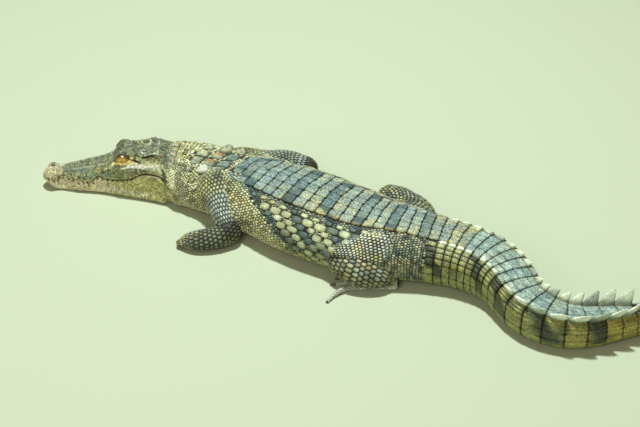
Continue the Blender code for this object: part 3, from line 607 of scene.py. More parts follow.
# ==== limb hide
# Upper limb, lower limb, palm or sole and digits, as loose hide over muscle and bone.  Each length is
# an elliptical tube along a smooth path with rounded ends, and neighbours swell to meet each other,
# as a skin fold does in the armpit, groin, elbow and knee.
# Joints, in millimetres: (along x, sideways from the backbone line, height, half width, half height).
ARM = {
    "left": (
        ((-150, 44, 52, 25, 26), (-134, 60, 46, 20, 22), (-116, 78, 33, 17, 18.5),
         (-102, 88, 22, 16, 16.5)),
        ((-98, 88, 19, 16.5, 18.5), (-114, 110, 16.5, 17.2, 16.5), (-134, 127, 15, 16.8, 14.8),
         (-150, 135, 11.2, 13.8, 10.8), (-160, 141.5, 6.8, 7.5, 6.2)),
        ((-149, 121.5, 6, 10, 5.8), (-140, 110.5, 5.4, 12, 5.2), (-131, 100.5, 4.6, 11.5, 4.6))),
    "right": (
        ((-150, 38, 46, 24, 26), (-122, 64, 44, 20, 20.5), (-92, 94, 41, 17, 18),
         (-68, 105, 36, 15.5, 16)),
        ((-62, 107, 32, 16, 17), (-82, 110, 22, 16.5, 16), (-106, 112, 15, 15.5, 14.5),
         (-126, 113, 11.5, 13, 10.8)),
        ((-126, 102, 6, 10, 5.8), (-114, 97, 5.4, 12, 5.2), (-102, 93, 4.6, 11.5, 4.6))),
}
LEG = {
    "left": (
        ((158, 18, 51, 33, 30), (132, 40, 51, 28, 26.5), (106, 56, 48, 22, 22), (92, 64, 43, 19, 19)),
        ((93, 73, 33.5, 18.5, 21), (109.7, 74.5, 30, 20.5, 23.5), (128.5, 71, 26.2, 21.7, 24),
         (147, 66, 22.2, 19, 21.2), (162, 62, 13.5, 11, 12)),
        ((169, 60, 8, 9.5, 8), (152, 64, 6.5, 11.5, 6.2), (130, 70, 5.6, 13, 5.4))),
    "right": (
        ((165, 30, 47, 34, 31), (142, 68, 43, 28, 27.5), (112, 92, 41, 23.5, 24.5),
         (92, 100, 38, 20, 21)),
        ((94, 103, 31, 19, 21), (111, 107, 28.5, 20, 22.5), (129, 108, 25.5, 20.5, 23),
         (146, 105, 20.5, 18, 20), (160, 102, 13.5, 11.5, 12)),
        ((168, 103, 8, 9.5, 8), (151, 108, 6.5, 11.5, 6.2), (129, 113, 5.6, 13, 5.4))),
}
# Digits from the thumb or inner toe outwards: where they root across the palm (-1 inner, 1 outer),
# heading at root and tip (degrees from +X, turning outwards), length.
FINGERS = ((-.9, -62, -70, .013), (-.45, -52, -56, .018), (0.0, -42, -42, .02),
           (.45, -32, -28, .017), (.9, -22, -14, .013))
TOES = ((-.75, 174, 176, .03), (-.25, 170, 168, .036), (.25, 165, 150, .041),
        (.75, 156, 90, .066))
FINGER_RADIUS = .0036
TOE_RADIUS = .0048
LIMB_DEPTH = .0011
DIGIT_DEPTH = .0006
FLOOR_GAP = .0002


def limb_point(row, side):
    """World point of a joint row; sideways is measured from the backbone line."""
    return np.array([row[0], np.interp(row[0], LINE_X, LINE_Y) - side * row[1], row[2]])


def tube(centres, widths, heights, depth, rings, sides, cap_rings=5):
    """A sheet of ellipses standing across a smooth path, drawn to a pole at both rounded ends."""
    centres, widths, heights = (np.asarray(a, float) for a in (centres, widths, heights))
    along = np.concatenate([[0], np.cumsum(np.linalg.norm(np.diff(centres, axis=0), axis=1))])
    at = np.linspace(0, along[-1], rings + 1)
    path = np.stack([keyed(at, np.stack([along, centres[:, k]], 1)) for k in range(3)], 1)
    width, height = (keyed(at, np.stack([along, half], 1)) - depth for half in (widths, heights))
    tangent = unit(np.gradient(path, at, axis=0))
    across = unit(np.cross((0, 0, 1), tangent))
    up = np.cross(tangent, across)
    bend = np.radians(np.linspace(0, 90, cap_rings + 1))[:-1]
    pick = np.concatenate([np.zeros(cap_rings, int), np.arange(rings + 1), np.full(cap_rings, rings)])
    shift = np.concatenate([-np.cos(bend) * width[0], np.zeros(rings + 1), np.cos(bend[::-1]) * width[-1]])
    share = np.concatenate([np.sin(bend), np.ones(rings + 1), np.sin(bend[::-1])])
    columns = np.linspace(0, 1, sides + 1)
    turn = columns * math.tau
    points = ((path[pick] + tangent[pick] * shift[:, None])[:, None]
              + (share * width[pick])[:, None, None] * np.cos(turn)[None, :, None] * across[pick][:, None]
              + (share * height[pick])[:, None, None] * np.sin(turn)[None, :, None] * up[pick][:, None])
    points[..., 2] = np.maximum(points[..., 2], FLOOR_GAP)
    made = Sheet(at[pick] + shift, columns, points, closed=True)
    made.spine = (path, tangent, across, up, width, height)
    made.girth = math.pi * (float(width.max()) + float(height.max()))
    return made


def digit_path(root, headings, length, radius):
    """Centres, radii and end direction of a finger or toe that bends in plan and thins to its tip."""
    share = np.linspace(0, 1, 7)
    turning = np.radians(headings[0] + (headings[1] - headings[0]) * share)
    steps = np.stack([np.cos(turning), np.sin(turning), 0 * turning], 1) * length / 6
    centres = root + np.concatenate([np.zeros((1, 3)), np.cumsum((steps[1:] + steps[:-1]) / 2, 0)])
    radii = radius * np.interp(share, (0, .3, .7, 1), (1.0, .95, .8, .58))
    centres[:, 2] = radii * .9 + .0012 * np.sin(share * math.pi)
    return centres, radii, steps[-1] / np.linalg.norm(steps[-1])


def make_limb(side, tables, digits, radius):
    """Tubes of one limb by name, and where each digit's claw starts, points and how thick it is."""
    tubes, tips = {}, []
    tables = [np.array(rows) / 1000 for rows in tables]
    for part, rows, mesh in zip(("upper", "lower", "palm"), tables,
                                ((LIMB_DEPTH, 26, 28), (LIMB_DEPTH, 26, 28), (DIGIT_DEPTH, 14, 24))):
        tubes[part] = tube([limb_point(row, side) for row in rows], rows[:, 3], rows[:, 4], *mesh)
    end, start = limb_point(tables[2][-1], side), limb_point(tables[2][-2], side)
    forward = unit((end - start) * (1, 1, 0))
    outward = np.array([forward[1], -forward[0], 0.0])
    outward *= math.copysign(1, -side * outward[1])
    for k, (place, heading, tip_heading, length) in enumerate(digits):
        root = end * (1, 1, 0) + outward * place * tables[2][-1][3] * .8
        centres, radii, direction = digit_path(root, (-side * heading, -side * tip_heading), length, radius)
        rings = max(10, round(length / .0022))
        tubes[f"digit_{k + 1}"] = tube(centres, radii, radii * .92, DIGIT_DEPTH, rings, 14, 4)
        tips.append((centres[-1], direction, radii[-1]))
    return tubes, tips


limbs, digit_tips = {}, {}
for side, word in ((1, "left"), (-1, "right")):
    limbs[f"arm_{word}"], digit_tips[f"hand_{word}"] = make_limb(side, ARM[word], FINGERS, FINGER_RADIUS)
    limbs[f"leg_{word}"], digit_tips[f"foot_{word}"] = make_limb(side, LEG[word], TOES, TOE_RADIUS)
limb_lengths = [(limb, part, made) for limb, tubes in limbs.items() for part, made in tubes.items()]

GAP_STATIONS = np.arange(80, len(LINE_STATIONS), 4)
GAP_SECTIONS = local_outline(LINE_STATIONS[GAP_STATIONS][:, None], np.linspace(0, 9, 91))[..., 1:]
GAP_SECTIONS -= unit(GAP_SECTIONS - GAP_SECTIONS.mean(1, keepdims=True) * (0, 1)) * .0016


def body_gap(points):
    """Distance out from the body's hide (negative inside), taken in the section nearest to each point."""
    flat = points.reshape(-1, 3)
    gap = np.empty(len(flat))
    for start in range(0, len(flat), 20000):
        part = flat[start:start + 20000]
        offset = part[:, None, :2] - np.stack([LINE_X[GAP_STATIONS], LINE_Y[GAP_STATIONS]], -1)
        nearest = (offset ** 2).sum(-1).argmin(1)
        offset = offset[np.arange(len(part)), nearest]
        heading = LINE_HEADINGS[GAP_STATIONS[nearest]]
        sideways = np.abs(offset[:, 0] * np.sin(heading) - offset[:, 1] * np.cos(heading))
        here = np.stack([sideways, part[:, 2]], -1)
        section = GAP_SECTIONS[nearest]
        far = np.linalg.norm(section - here[:, None], axis=-1)
        touch = section[np.arange(len(part)), far.argmin(1)]
        middle = np.stack([0 * sideways, section[..., 1].mean(1)], -1)
        outside = np.linalg.norm(here - middle, axis=1) > np.linalg.norm(touch - middle, axis=1)
        gap[start:start + 20000] = far.min(1) * np.where(outside, 1, -1)
    return gap.reshape(points.shape[:-1])


def tube_gap(points, made):
    """Distance out from a limb tube (negative inside), by how many ellipse radii lie between."""
    path, tangent, across, up, width, height = made.spine
    flat = points.reshape(-1, 3)
    offset = flat[:, None] - path
    nearest = (offset ** 2).sum(-1).argmin(1)
    offset = offset[np.arange(len(flat)), nearest]
    w, h = width[nearest], height[nearest]
    parts = ((offset * across[nearest]).sum(-1) / w, (offset * up[nearest]).sum(-1) / h,
             np.maximum(np.abs((offset * tangent[nearest]).sum(-1)) - .0006, 0) / w)
    reach = np.sqrt(parts[0] ** 2 + parts[1] ** 2 + parts[2] ** 2)
    return ((reach - 1) * np.sqrt(w * h)).reshape(points.shape[:-1])


def swell(gap, size):
    """Fillet: how far a surface stands out next to another that is gap away."""
    return size / 4 * np.clip(1 - np.abs(gap) / size, 0, 1) ** 2


FOLD_SIZE = {"upper": .02, "lower": .006, "palm": .003}
body_shift = np.zeros(body.points.shape[:2])
trunk_rows = (body.rows > .22) & (body.rows < .8)
limb_shifts = []
for limb, part, made in limb_lengths:
    if part in FOLD_SIZE:
        body_shift[trunk_rows] += swell(tube_gap(body.points[trunk_rows], made), FOLD_SIZE[part])
    digit = part not in FOLD_SIZE
    shift = swell(body_gap(made.points), FOLD_SIZE.get(part, .001))
    for other, size in (("upper", .0035), ("lower", .0035), ("palm", .003)):
        if part != other and not (digit and other == "upper"):
            shift += swell(tube_gap(made.points, limbs[limb][other]), .002 if digit else size)
    limb_shifts.append(shift)
body = Sheet(body.rows, body.columns, body.points + body.normals * body_shift[..., None])
body.points[..., 2] = np.maximum(body.points[..., 2], 0.0)
for (_, _, made), shift in zip(limb_lengths, limb_shifts):
    made.points = made.points + made.normals * shift[..., None]
    made.points[..., 2] = np.maximum(made.points[..., 2], FLOOR_GAP)

# ==== markings
# The hide's colours: olive yellow-grey back with blue-black crossbands that slant back down the
# flanks, a dark flank under pale ovals, a tan snout tip and jaw.  Hide and scales both take them
# from here, by station and turn, so that the pattern runs through.
OLIVE_BACK = np.array([.41, .43, .22])
BLUE_BACK = np.array([.22, .31, .28])
SLATE_BAND = np.array([.07, .115, .11])
PALE_OVAL = np.array([.48, .56, .37])
NECK_OLIVE = np.array([.42, .43, .2])
SNOUT_OLIVE = np.array([.275, .31, .155])
SNOUT_TAN = np.array([.7, .66, .42])
JAW_CREAM = np.array([.8, .75, .48])
BELLY_CREAM = np.array([.6, .56, .36])
TAIL_OLIVE = np.array([.26, .285, .105])
TAIL_DARK = np.array([.045, .058, .035])
# Pale tops of the crest blades, partly their own colour and partly a painted highlight.
CREST_PALE_AND_HIGHLIGHT = np.array([.46, .56, .43])
LIMB_SLATE = np.array([.12, .165, .135])
LIMB_YELLOW = np.array([.5, .49, .24])
# Crossbands: (turns), (stations), half width.
BANDS = (
    ((0, .7, 1.25, 1.85, 2.5, 2.95, 3.5, 4.15, 4.6),
     (.35, .355, .375, .391, .413, .434, .454, .47, .488), .0112),
    ((0, 1.1, 1.75, 2.05, 2.6, 3.6, 4.3), (.451, .454, .46, .478, .49, .506, .538), .0098),
    ((0, .75, 2.35, 2.75, 3.6), (.508, .505, .542, .548, .56), .0085),
    ((0, 1.35, 1.75, 3.0), (.561, .565, .57, .59), .0088),
    ((0, 1.5, 3.0), (.612, .612, .625), .0065),
    ((0, 1.55, 3.0, 4.5), (.66, .66, .672, .69), .009),
    ((0, 1.0, 2.4, 2.95, 4.5), (.742, .745, .766, .772, .786), .0105),
    ((0, 1.5, 4.5), (.815, .822, .84), .01),
    ((0, 1.5, 5.0), (.884, .89, .903), .0115),
    ((0, 1.5, 5.0), (.952, .958, .968), .0105),
    ((0, 5.0), (1.04, 1.05), .012),
    ((0, 5.0), (1.125, 1.133), .013),
    ((0, 5.0), (1.215, 1.22), .012),
)


def cloud(points, size, seed):
    """Smooth random field from 0 to 1: random numbers on a lattice of this size, blended between."""
    table = np.random.default_rng(seed).random(4096)
    spot = np.asarray(points) / size
    cell = np.floor(spot).astype(int)
    f = spot - cell
    f = f * f * (3 - 2 * f)
    total = 0.0
    for corner in ((i, j, k) for i in (0, 1) for j in (0, 1) for k in (0, 1)):
        weight = np.prod(np.where(corner, f, 1 - f), axis=-1)
        total = total + weight * table[(cell + corner) @ (73, 1179, 283) % 4096]
    return total


def banding(stations, turns, points):
    """How far inside a dark crossband each place lies, 0 to 1, with ragged edges."""
    dark = np.zeros(np.broadcast(stations, turns).shape)
    rag = (cloud(points, .012, 5) - .5) * .009
    for band_turns, band_stations, half in BANDS:
        away = np.abs(stations - np.interp(np.abs(turns), band_turns, band_stations) + rag)
        reach = np.interp(np.abs(turns), (0, band_turns[-1], band_turns[-1] + .8), (1, 1, 0))
        dark = np.maximum(dark, reach * smooth(away, half * 1.25, half * .75))
    return dark


def face_colour(u, t, points, patchy, fine):
    """Colour of the raised scales of the head, at u head lengths from the snout tip."""
    top = mix(SNOUT_OLIVE, (.13, .165, .13), .4 * smooth(patchy, .5, .75) + .6 * smooth(fine, .5, .62))
    side = mix(SNOUT_OLIVE * 1.25, JAW_CREAM, smooth(t, 3.6, 4.8) * smooth(u, .62, .35))
    jaw = painted(JAW_CREAM * 1.1, ((.64, .64, .28), smooth(u, .48, .68)),
                  (BELLY_CREAM * 1.08, smooth(t, 7.4, 8.4)))
    speck = smooth(cloud(points, .003, 10), .55, .72) * smooth(u, .06, .3) * (1 - .6 * smooth(t, 5.2, 5.6))
    spots = [(SLATE_BAND * 1.9, .7 * bell(u - spot_u, size) * bell(t - spot_t, .55))
             for spot_u, spot_t, size in (
                 (.27, 2.27, .05), (.368, 2.35, .045), (.44, 3.48, .05), (.545, 4.1, .04))]
    return painted(top, (side, smooth(t, 2.0, 3.2)), (SNOUT_TAN, smooth(u, .24, .06)),
                   (jaw, smooth(t, MOUTH_TURN - .15, MOUTH_TURN + .15)), ((.045, .055, .035), .75 * speck),
                   *spots, (LIMB_YELLOW * .95, .6 * bell(t - 3.4, .45) * smooth(u, .66, .74)))


def hide_colour(stations, turns, points):
    """Colour of the raised scales at each place of the head and body."""
    u, t = stations / HEAD_LENGTH, np.abs(turns)
    patchy, fine, speck = cloud(points, .02, 8), cloud(points, .0045, 9), cloud(points, .0022, 11)
    dark = banding(stations, turns, points)
    bluer = .12 * smooth(t, 1.1, .2) + .1 * smooth(stations, .52, .4) - .08 * smooth(t, 1.0, 1.5)
    ground = mix(OLIVE_BACK, BLUE_BACK, smooth(.3 * patchy + .25 * fine + .45 * speck + bluer, .34, .62))
    faded = (1 - smooth(t, .3, 1.1)) * smooth(patchy, .35, .6) * .65
    back = mix(ground, SLATE_BAND * np.interp(t, (.8, 1.3), (1.45, .95))[..., None], dark * (1 - faded))
    flank = painted(PALE_OVAL, (OLIVE_BACK * .9, patchy), (SLATE_BAND * .9, .92 * dark))
    # Towards the belly the flank turns a darker olive, partly its own colour and partly painted shade.
    trunk = painted(back, (flank, smooth(t, 1.6, 2.0)), ((.33, .33, .13), .7 * smooth(t, 4.2, 5.2)),
                    (BELLY_CREAM, smooth(t, 5.9, 6.8)))
    spots = [(SLATE_BAND * .8, strength * bell(stations - spot_station, .009) * bell(t - spot_turn, .26))
             for spot_station, spot_turn, strength in (
                 (.309, 1.72, .9), (.323, 1.82, .95), (.338, 2.02, .9), (.308, 3.0, .6))]
    neck = painted(NECK_OLIVE, ((.6, .65, .45), smooth(fine, .5, .7) * .75),
                   ((.085, .095, .055), .55 * smooth(patchy, .66, .8) + .4 * smooth(fine, .42, .25)),
                   *spots, (BELLY_CREAM, smooth(t, 4.6, 6.0)))
    top = smooth(t, 1.75, 1.35)
    keels = bell(t - 2.2, .75) * smooth(stations, .84, .72)
    tail = painted(mix(TAIL_OLIVE, (.36, .34, .085), smooth(stations, .88, 1.0)), (ground, .85 * top),
                   (mix(TAIL_DARK, SLATE_BAND * 1.6, top), (.94 - .22 * top) * dark),
                   ((.38, .42, .23), .75 * keels * (1 - dark)),
                   (TAIL_DARK * 1.3, .55 * smooth(patchy, .6, .75) * smooth(t, 1.8, 2.4)),
                   (BELLY_CREAM * .8, smooth(t, 6.0, 7.5)))
    face = face_colour(u, t, points, patchy, fine)
    near = np.broadcast_to(u < 1.2, face.shape[:-1])
    face[near] = face_paint(face[near], *(np.broadcast_to(v, near.shape)[near] for v in (stations, turns)))
    behind = np.interp(t, (1.3, 1.85, 2.5, 2.95, 3.5, 4.15, 4.6), (0, .036, .058, .079, .099, .115, .133))
    return painted(face, (neck, smooth(u, 1.05, 1.13)), (trunk, smooth(stations - behind, .318, .342)),
                   (tail, smooth(stations, .625, .665)))


def crease_shade(stations, turns, points):
    """Colour of the bare hide between scales: the scales' colour darkened, partly darker skin and partly
    painted shade, to near black on back, flank and tail, warmer on the face.
    """
    raised = hide_colour(stations, turns, points)
    t, u = np.abs(turns), stations / HEAD_LENGTH
    pale_side = smooth(t, 1.7, 2.1) * (1 - banding(stations, turns, points)) * smooth(stations, .36, .38)
    sunk_shade = mix(raised * .07 + (.008, .009, .005), raised * .12, pale_side * smooth(stations, .64, .62))
    return mix(raised * .72, sunk_shade, smooth(u, 1.02, 1.2) * (1 - .85 * smooth(t, 5.6, 6.4)))


# ==== one hide over all the flesh
# Body and limb tubes are joined into one closed hide with no seam, which takes the place of every
# flesh solid.  Its unwrap keeps the head large; the tubes are joined by a Boolean union.
# Patches of the unwrap: (left, bottom, size).
HEAD_PATCH = (.008, .64, 2.15)
BODY_PATCH = (.008, .13, .752)
TUBE_LEFT = {"upper": .52, "lower": .66, "palm": .8}
DIGIT_LEFT = .89
TUBE_SIZE = .95
ARC_SHARES = np.linspace(0, 1, 181)
TURNS_AT = np.array([np.interp(ARC_SHARES, arcs / arcs[-1], ARC_TURNS) for arcs in ARCS])


def turn_at(stations, arcs):
    """The turn that lies a signed distance round the outline from the back's midline."""
    whole = np.interp(stations, ARC_STATIONS, ARCS[:, -1])
    share = np.clip(np.abs(arcs) / whole, 0, 1)
    return np.sign(arcs) * grid_read(TURNS_AT, ARC_STATIONS, ARC_SHARES, stations, share)


def body_uv(stations, turns, on_head=False):
    """Place on the unwrap: station across, distance round the section upwards."""
    arc = arc_length(stations, turns)
    places = [np.stack([left + stations * size, bottom + arc * size], -1)
              for left, bottom, size in (HEAD_PATCH, BODY_PATCH)]
    return np.where(np.asarray(on_head)[..., None], *places)


def tube_uv(made, a, b):
    """Place on a limb tube's own patch: distance along it across, distance round it upwards."""
    left, bottom = made.patch
    return np.stack([left + (a - made.rows[0]) * TUBE_SIZE, bottom + b * made.girth * TUBE_SIZE], -1)


for limb, part, made in limb_lengths:
    bottom = .29 + .175 * list(limbs).index(limb) + (.033 * (int(part[-1]) - 1) if part[0] == "d" else 0)
    made.patch = (TUBE_LEFT.get(part, DIGIT_LEFT), bottom)


def limb_colour(points):
    """Colour of raised limb scales: slate with yellow, in patches."""
    patchy, fine = cloud(points, .016, 21), cloud(points, .0035, 22)
    return mix(LIMB_YELLOW * .8, LIMB_SLATE, smooth(patchy, .42, .62) * .75 + .25 * smooth(fine, .45, .7))


def corner_layers(mesh, uv, tint):
    """Adds a mesh's unwrap and colour layer, from values at each face corner."""
    mesh.uv_layers.new(name="OFBake").data.foreach_set("uv", uv.astype(np.float32).ravel())
    full = np.concatenate([tint, np.ones((len(tint), 1))], 1)
    layer = mesh.color_attributes.new("tint", "FLOAT_COLOR", "CORNER")
    layer.data.foreach_set("color", full.astype(np.float32).ravel())


def pole_ids(rows, columns):
    """Point numbers of a closed tube's grid: the last column is the first, each end row is one point."""
    ids = np.arange(rows * columns).reshape(rows, columns)
    ids[:, -1] = ids[:, 0]
    ids[0], ids[-1] = ids[0, 0], ids[-1, 0]
    return ids


def grid_mesh(name, made, keep, uv, colour):
    """Closed tube mesh of a sheet.  keep gives the column step of each row; rows of different steps
    meet in five-sided faces, and the end rows shrink to one point each."""
    rows, columns = made.points.shape[:2]
    ids = pole_ids(rows, columns)
    faces = []
    for row in range(rows - 1):
        step, following = keep[row], keep[row + 1]
        j = np.arange(0, columns - 1, following)
        picks = [(0, j), (0, j + step), (1, j + step), (1, j)]
        if row == 0:
            picks = [(0, j), (1, j + following), (1, j)]
        elif row == rows - 2:
            picks = [(0, j), (0, j + step), (1, j)]
        elif step != following:
            picks = [(0, j), (0, j + 1), (0, j + 2), (1, j + 2), (1, j)]
        faces.append((np.stack([ids[row + down, at] for down, at in picks], 1),
                      np.stack([(row + down) * columns + at for down, at in picks], 1), row))
    spots = np.concatenate([spot.ravel() for _, spot, _ in faces])
    face_rows = np.concatenate([np.full(spot.size, row) for _, spot, row in faces])
    used = np.unique(np.concatenate([corner.ravel() for corner, _, _ in faces]))
    numbered = np.zeros(rows * columns, int)
    numbered[used] = np.arange(len(used))
    mesh = bpy.data.meshes.new(name)
    mesh.from_pydata(made.points.reshape(-1, 3)[used], [],
                     [face for corner, _, _ in faces for face in numbered[corner].tolist()])
    a, b = made.rows[spots // columns], made.columns[spots % columns]
    corner_layers(mesh, uv(a, b, face_rows), colour(a, b, made.points.reshape(-1, 3)[spots]))
    return put(name, mesh)


head_rows = int((body.rows < HEAD_END - 1e-9).sum())
body_keep = np.where(np.arange(len(body.rows)) <= head_rows, 1, 2)
hide = grid_mesh("hide", body, body_keep, lambda a, b, row: body_uv(a, b, row < head_rows), crease_shade)
# The limbs' bare hide between scales is their colour darkened near black, partly darker skin and partly
# painted shade.
for limb, part, made in limb_lengths:
    length = grid_mesh(f"{limb}_{part}", made, np.ones(len(made.rows), int),
                       lambda a, b, row: tube_uv(made, a, b),
                       lambda a, b, points: limb_colour(points) * .08 + .01)
    union = hide.modifiers.new("union", "BOOLEAN")
    union.operation = "UNION"
    union.solver = "MANIFOLD"
    union.object = length
    joined = bpy.data.meshes.new_from_object(hide.evaluated_get(bpy.context.evaluated_depsgraph_get()))
    hide.modifiers.clear()
    hide.data = joined
    bpy.data.objects.remove(length, do_unlink=True)
hide.data.name = "hide"
hide.data.shade_smooth()


def node(tree, kind, inputs, **options):
    """A new shader node's outputs.  Each input is given a plain value or the socket that feeds it."""
    made = tree.nodes.new("ShaderNode" + kind)
    for name, value in options.items():
        setattr(made, name, value)
    feed(tree, made.inputs, inputs)
    return made.outputs


def spread(source, low, high, floor_value, top_value):
    """Takes source from low..high to floor_value..top_value."""
    return node(source.id_data, "MapRange", {"Value": source, "From Min": low, "From Max": high,
                                             "To Min": floor_value, "To Max": top_value})["Result"]


def maths(operation, first, second=0.0):
    """Sum, product or the like of a socket and another or a number."""
    return node(first.id_data, "Math", {0: first, 1: second}, operation=operation)["Value"]


def times(first, second):
    """Product of a socket and another or a number."""
    return maths("MULTIPLY", first, second)


def noise(place, size, detail):
    """Noise from 0 to 1, finer for a larger size."""
    return node(place.id_data, "TexNoise", {"Vector": place, "Scale": size, "Detail": detail})["Fac"]


def scaled(colour, by):
    """A colour made lighter or darker."""
    return node(colour.id_data, "VectorMath", {0: colour, "Scale": by}, operation="SCALE")["Vector"]


def bump(height, strength, distance):
    """Normals with the fine relief of a height socket."""
    return node(height.id_data, "Bump",
                {"Height": height, "Strength": strength, "Distance": distance})["Normal"]


def hide_grain_group():
    """Speckled keratin: the tint is darkened and lightened by fine specks and slow clouding, and darkened
    towards the edges of small pebbles as painted shade; pebbles and specks make the height, and specks
    vary the roughness."""
    tree = bpy.data.node_groups.new("hide_grain", "ShaderNodeTree")
    for way, label, value in (
            ("INPUT", "Tint", (.3, .3, .2, 1)), ("INPUT", "Speck Scale", 900.0), ("INPUT", "Speck Depth", .5),
            ("INPUT", "Pebble Scale", 450.0), ("INPUT", "Roughness", .5),
            ("OUTPUT", "Colour", (0, 0, 0, 1)), ("OUTPUT", "Roughness", 0.0), ("OUTPUT", "Height", 0.0)):
        kind = "NodeSocketFloat" if isinstance(value, float) else "NodeSocketColor"
        tree.interface.new_socket(label, in_out=way, socket_type=kind).default_value = value
    given = tree.nodes.new("NodeGroupInput").outputs
    made = tree.nodes.new("NodeGroupOutput").inputs
    place = node(tree, "TexCoord", {})["Object"]
    specks = noise(place, given["Speck Scale"], 3.0)
    clouding = noise(place, 95.0, 2.0)
    pebble = node(tree, "TexVoronoi", {"Vector": place, "Scale": given["Pebble Scale"]}, feature="SMOOTH_F1")
    swing = times(spread(specks, .32, .68, -1.0, 1.0), given["Speck Depth"])
    shade = maths("ADD", swing, spread(clouding, .3, .7, .84, 1.14))
    # Painted shade: darker towards the edges of the pebbles, where the height falls.
    shade = maths("SUBTRACT", shade, times(pebble["Distance"], .22))
    colour = scaled(given["Tint"], maths("MAXIMUM", shade, .05))
    rough = maths("ADD", given["Roughness"], spread(specks, .3, .7, -.09, .12))
    height = maths("SUBTRACT", times(specks, .6), pebble["Distance"])
    feed(tree, made, {"Colour": colour, "Roughness": rough, "Height": height})
    return tree


HIDE_GRAIN = hide_grain_group()


def keratin(name, speck_scale, speck_depth, pebble_scale, roughness, relief, coat=0.0):
    """Material of hide or scales: the piece's tint layer through the grain group, with its bump."""
    finish, tree, shader = new_finish(name)
    tint = node(tree, "Attribute", {}, attribute_name="tint")["Color"]
    grain = node(tree, "Group", {"Tint": tint, "Speck Scale": speck_scale, "Speck Depth": speck_depth,
                                 "Pebble Scale": pebble_scale, "Roughness": roughness}, node_tree=HIDE_GRAIN)
    feed(tree, shader, {"Base Color": grain["Colour"], "Roughness": grain["Roughness"],
                        "Normal": bump(grain["Height"], relief, .0006), "Coat Weight": coat,
                        "Coat Roughness": .35, "Specular IOR Level": .3})
    return finish


hide.data.materials.clear()
hide.data.materials.append(keratin("hide", 900.0, .34, 620.0, .6, .7))
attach(hide, "root")
flesh = ["head", "lower_jaw", "neck", "trunk", "tail_base", "tail_middle", "tail_end"]
flesh += [f"{part}_{word}" for part in ("upper_arm", "forearm", "hand", "thigh", "shank", "foot")
          for word in ("left", "right")]
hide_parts(*flesh)

# ==== eyes
# Each eye is a clear bulging cornea over an amber iris with an upright slit, set deep between thick
# lids.  The ball is one turned surface about the line of sight, fullest over the iris.
SIGHT = unit(np.array([-.05, .86, .46]))
IRIS_ANGLE = math.radians(47)
CORNEA_BULGE = .0009


def eye_frame(side):
    """Centre, line of sight, upright and level directions of one eye in the world."""
    station, sideways, height = EYE_CENTRE
    tailwards, leftwards = plan_ways(station)
    sight = unit(SIGHT[0] * tailwards + SIGHT[1] * side * leftwards + (0, 0, SIGHT[2]))
    level = unit(tailwards - sight * (tailwards @ sight))
    upright = np.cross(level, sight) * side
    centre = placed(np.array(station), np.array(side * sideways), np.array(height))
    return centre, sight, upright * math.copysign(1, upright[2]), level


def turned_ball(name, side, radius):
    """Closed ball turned about the line of sight: circles at each angle off it, whose distance from
    the centre is the radius plus a bulge that grows from the iris's rim to its middle."""
    centre, sight, upright, level = eye_frame(side)
    angle = np.linspace(0, math.pi, 40)
    turn = np.linspace(0, math.tau, 49)
    reach = radius + CORNEA_BULGE * smooth(angle, IRIS_ANGLE, 0)
    points = (centre + (reach * np.cos(angle))[:, None, None] * sight
              + (reach * np.sin(angle))[:, None, None]
              * (np.cos(turn)[None, :, None] * level + np.sin(turn)[None, :, None] * upright))
    ids = pole_ids(len(angle), len(turn))
    quads = np.stack([ids[:-1, :-1], ids[:-1, 1:], ids[1:, 1:], ids[1:, :-1]], -1).reshape(-1, 4)
    if ((points[10] - centre) * Sheet(angle, turn, points).normals[10]).sum() < 0:
        quads = quads[:, ::-1]
    used, compact = np.unique(quads, return_inverse=True)
    lists = [tuple(dict.fromkeys(quad)) for quad in compact.reshape(-1, 4).tolist()]
    mesh = bpy.data.meshes.new(name)
    mesh.from_pydata(points.reshape(-1, 3)[used], [], [quad for quad in lists if len(quad) > 2])
    flat = points.reshape(-1, 3)[used] - centre
    gaze = np.stack([flat @ level, flat @ upright, flat @ sight], -1) / EYE_RADIUS
    layer = mesh.attributes.new("gaze", "FLOAT_VECTOR", "POINT")
    layer.data.foreach_set("vector", gaze.astype(np.float32).ravel())
    mesh.shade_smooth()
    return put(name, mesh)


def iris_finish():
    """Amber iris by distance from the line of sight: black slit, gold ring, dark fibres, dark rim, and
    painted shade over its upper part.
    """
    finish, tree, shader = new_finish("amber_iris")
    gaze = node(tree, "Attribute", {}, attribute_name="gaze")["Vector"]
    level, upright, _ = node(tree, "SeparateXYZ", {"Vector": gaze})
    off = maths("SQRT", maths("ADD", times(level, level), times(upright, upright)))
    angle = maths("ARCTAN2", upright, level)
    around = node(tree, "CombineXYZ", {"X": times(angle, 7.0), "Y": times(off, 2.0)})["Vector"]
    fibres = noise(around, 3.0, 3.0)
    ramp = tree.nodes.new("ShaderNodeValToRGB")
    stops = ((0.0, (.27, .16, .018, 1)), (.25, (.6, .4, .055, 1)), (.5, (.46, .29, .04, 1)),
             (.7, (.28, .16, .024, 1)), (.8, (.11, .06, .011, 1)), (.92, (.6, .38, .1, 1)))
    while len(ramp.color_ramp.elements) < len(stops):
        ramp.color_ramp.elements.new(.5)
    for element, (place, colour) in zip(ramp.color_ramp.elements, stops):
        element.position, element.color = place, colour
    tree.links.new(maths("ADD", off, spread(fibres, .3, .7, -.09, .09)), ramp.inputs["Fac"])
    slit = maths("ADD", times(maths("ABSOLUTE", level), 13.0),
                 maths("POWER", maths("ABSOLUTE", upright), 2.0))
    pupil = spread(slit, .5, .62, 0.0, 1.0)
    # Painted shade: the iris darkens towards its top, under the upper lid.
    shaded = spread(upright, .05, .42, 1.0, .3)
    shown = times(maths("MAXIMUM", pupil, .06), shaded)
    feed(tree, shader, {"Base Color": scaled(ramp.outputs["Color"], shown),
                        "Normal": bump(fibres, .25, .0004), "Roughness": .35,
                        "Coat Weight": .55, "Coat Roughness": .09})
    return finish


